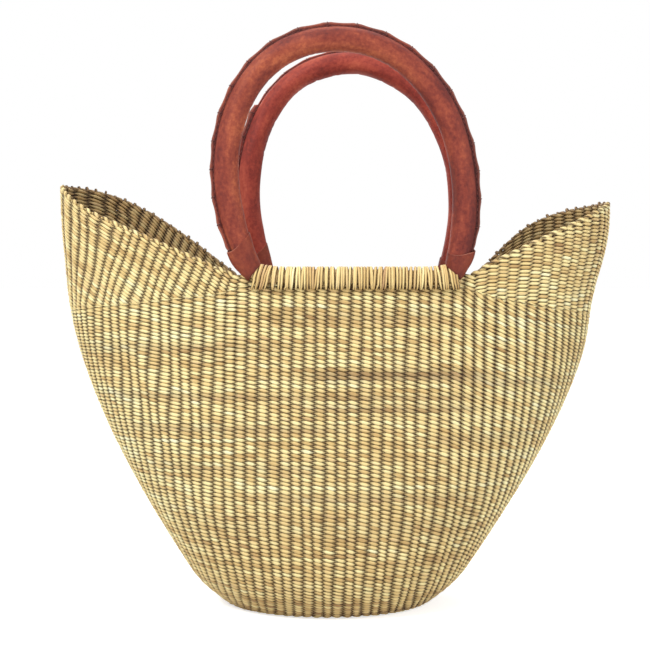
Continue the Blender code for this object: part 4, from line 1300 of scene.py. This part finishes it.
def leather_material(name, third_place, *colours):
    """Dyed goat leather: mottled and fine grained, with painted shade in its seam grooves, on its flange and
    at the collars' lower edges, pale at its cut and worn edges, and painted highlight down the front
    handle's right leg and partly along the flange's edge.
    """
    nodes = Nodes(bpy.data.materials.new(name))
    flange, seam_shade, pale, tone, place = nodes.looks()
    blotch = nodes.noise(nodes.stretched(place, (0.35, 1.0, 1.0)), 0.075, 4.0, 0.62)
    mottle = nodes.noise(place, 0.35, 5.0, 0.65)
    grain = nodes.noise(place, 2.4, 4.0, 0.6)
    shade = nodes.math("ADD", nodes.around(blotch, 0.5, 1.9), nodes.around(mottle, 0.5, 1.2))
    shade = nodes.math("ADD", shade, nodes.around(grain, 0.5, 0.35))
    # Painted shade: the flange is made darker.
    shade = nodes.math("ADD", shade, nodes.math("MULTIPLY", flange, -0.22))
    shade = nodes.math("SUBTRACT", nodes.math("ADD", shade, tone), 0.5, clamp=True)
    stops = list(zip((0.0, 0.35, third_place, 1.0), (srgb(*colour) for colour in colours)))
    colour = nodes.ramp(shade, stops)
    # Painted shade: darker in the flange's root groove, at the laced pinches and along the collars' lower
    # edges.
    seams = nodes.math("MULTIPLY", seam_shade, 0.9, clamp=True)
    colour = nodes.mix(seams, colour, srgb(118, 54, 48), "MULTIPLY")
    # Pale: cut and worn edges, with painted highlight on the front handle's right leg and partly on the
    # flange's edge.
    colour = nodes.mix(nodes.math("MULTIPLY", pale, 0.85, clamp=True), colour, srgb(206, 146, 122))
    height = nodes.math("ADD", grain, nodes.math("MULTIPLY", mottle, 0.8))
    return nodes.surface({
        "Base Color": colour,
        "Roughness": nodes.math("ADD", nodes.math("MULTIPLY", mottle, 0.30), 0.48),
        "Specular IOR Level": 0.26,
        "Normal": nodes.bump(height, 0.45, 0.00022),
    })


def make_leathers():
    """Each leather: its name, where its third tone lies, and four tones from dark to pale."""
    tones = {
        FRONT: ("front", 0.62, (90, 31, 26), (122, 50, 37), (142, 66, 46), (174, 92, 60)),
        BACK: ("back", 0.65, (98, 32, 26), (130, 46, 36), (152, 62, 47), (172, 82, 60)),
        "collar": ("collar", 0.65, (82, 29, 22), (110, 44, 31), (127, 56, 38), (150, 76, 50)),
    }
    return {key: leather_material(f"{name}_leather_look", *rest) for key, (name, *rest) in tones.items()}


def thread_material():
    """Waxed dark thread."""
    nodes = Nodes(bpy.data.materials.new("thread_look"))
    twist = nodes.noise(nodes.looks()[-1], 2.0, 2.0)
    stops = ((0.3, srgb(74, 26, 22)), (0.7, srgb(112, 46, 38)))
    return nodes.surface({"Base Color": nodes.ramp(twist, stops), "Roughness": 0.55})


def make_camera():
    data = bpy.data.cameras.new("camera")
    data.lens = CAMERA_LENS_MM
    data.sensor_width = CAMERA_SENSOR_MM
    data.shift_y = CAMERA_SHIFT_Y
    camera = add_object("camera", data)
    camera.location = CAMERA_PLACE
    tilt = math.radians(90.0 - CAMERA_TILT_DEGREES)
    camera.rotation_euler = (tilt, 0.0, math.radians(CAMERA_PAN_DEGREES))
    bpy.context.scene.camera = camera


def make_lights():
    for name, place, size, energy in LAMPS:
        data = bpy.data.lights.new(name, "AREA")
        data.shape = "DISK"
        data.size = size
        data.energy = energy
        lamp = add_object(name, data)
        lamp.location = place
        lamp.rotation_mode = "QUATERNION"
        lamp.rotation_quaternion = (Vector(LAMP_TARGET) - Vector(place)).to_track_quat("-Z", "Y")


def make_world():
    """Soft light all round, seen as pure white by the camera and in reflections."""
    world = bpy.data.worlds.new("studio")
    bpy.context.scene.world = world
    nodes = Nodes(world)
    nodes.tree.nodes.clear()
    soft, white = (nodes.add("ShaderNodeBackground", {"Color": WHITE, "Strength": strength}).outputs[0]
                   for strength in (WORLD_STRENGTH, 1.0))
    choose = nodes.add("ShaderNodeMixShader", {0: nodes.seen_directly(), 1: soft, 2: white})
    nodes.add("ShaderNodeOutputWorld", {"Surface": choose.outputs[0]})


def make_floor():
    """Wide white floor: the camera sees it white, with the soft shadow of the basket on it."""
    mesh = bpy.data.meshes.new("floor")
    corners = [(x * FLOOR_REACH, y * FLOOR_REACH, 0.0) for x, y in ((-1, -1), (1, -1), (1, 1), (-1, 1))]
    mesh.from_pydata(corners, [], [(0, 1, 2, 3)])
    nodes = Nodes(bpy.data.materials.new("floor_white"))
    glow = nodes.math("MULTIPLY", nodes.seen_directly(), FLOOR_GLOW)
    light = {"Emission Color": WHITE, "Emission Strength": glow}
    mesh.materials.append(nodes.surface({"Base Color": FLOOR_COLOUR, "Roughness": 0.9, **light}))
    floor = add_object("floor", mesh)
    floor.location.z = -FLOOR_DROP


def paint_cores(material):
    """The straw rope of the bars and handles stays as the CAD made it, with a better finish."""
    for name in ("front_bar_core", "back_bar_core", "front_handle_core", "back_handle_core"):
        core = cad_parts[name]
        for slot in core.material_slots:
            slot.material = material


def main():
    make_camera()
    make_lights()
    make_world()
    make_floor()
    bpy.context.scene.view_settings.view_transform = "Standard"
    straws = make_straws()
    leathers = make_leathers()
    thread = thread_material()
    paint_cores(rope_material())
    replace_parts(make_body(straws["straw"])[0], "woven_wall")
    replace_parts(make_base(straws["straw"]), "woven_base")
    for end in (LEFT, RIGHT):
        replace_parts(make_wing(end, straws["straw"]), f"{END_NAMES[end]}_wing")
        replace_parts(make_rim_border(end, straws["rim"]), f"{END_NAMES[end]}_rim_edge")
    for side in (FRONT, BACK):
        name = SIDE_NAMES[side]
        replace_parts(make_whipping(side, straws["cord"]), f"{name}_bar_lashing")
        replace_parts(make_sleeve(side, leathers[side]), f"{name}_handle_leather")
        make_stitching(side, thread)
        for end in (LEFT, RIGHT):
            make_collar(side, end, leathers["collar"])


main()
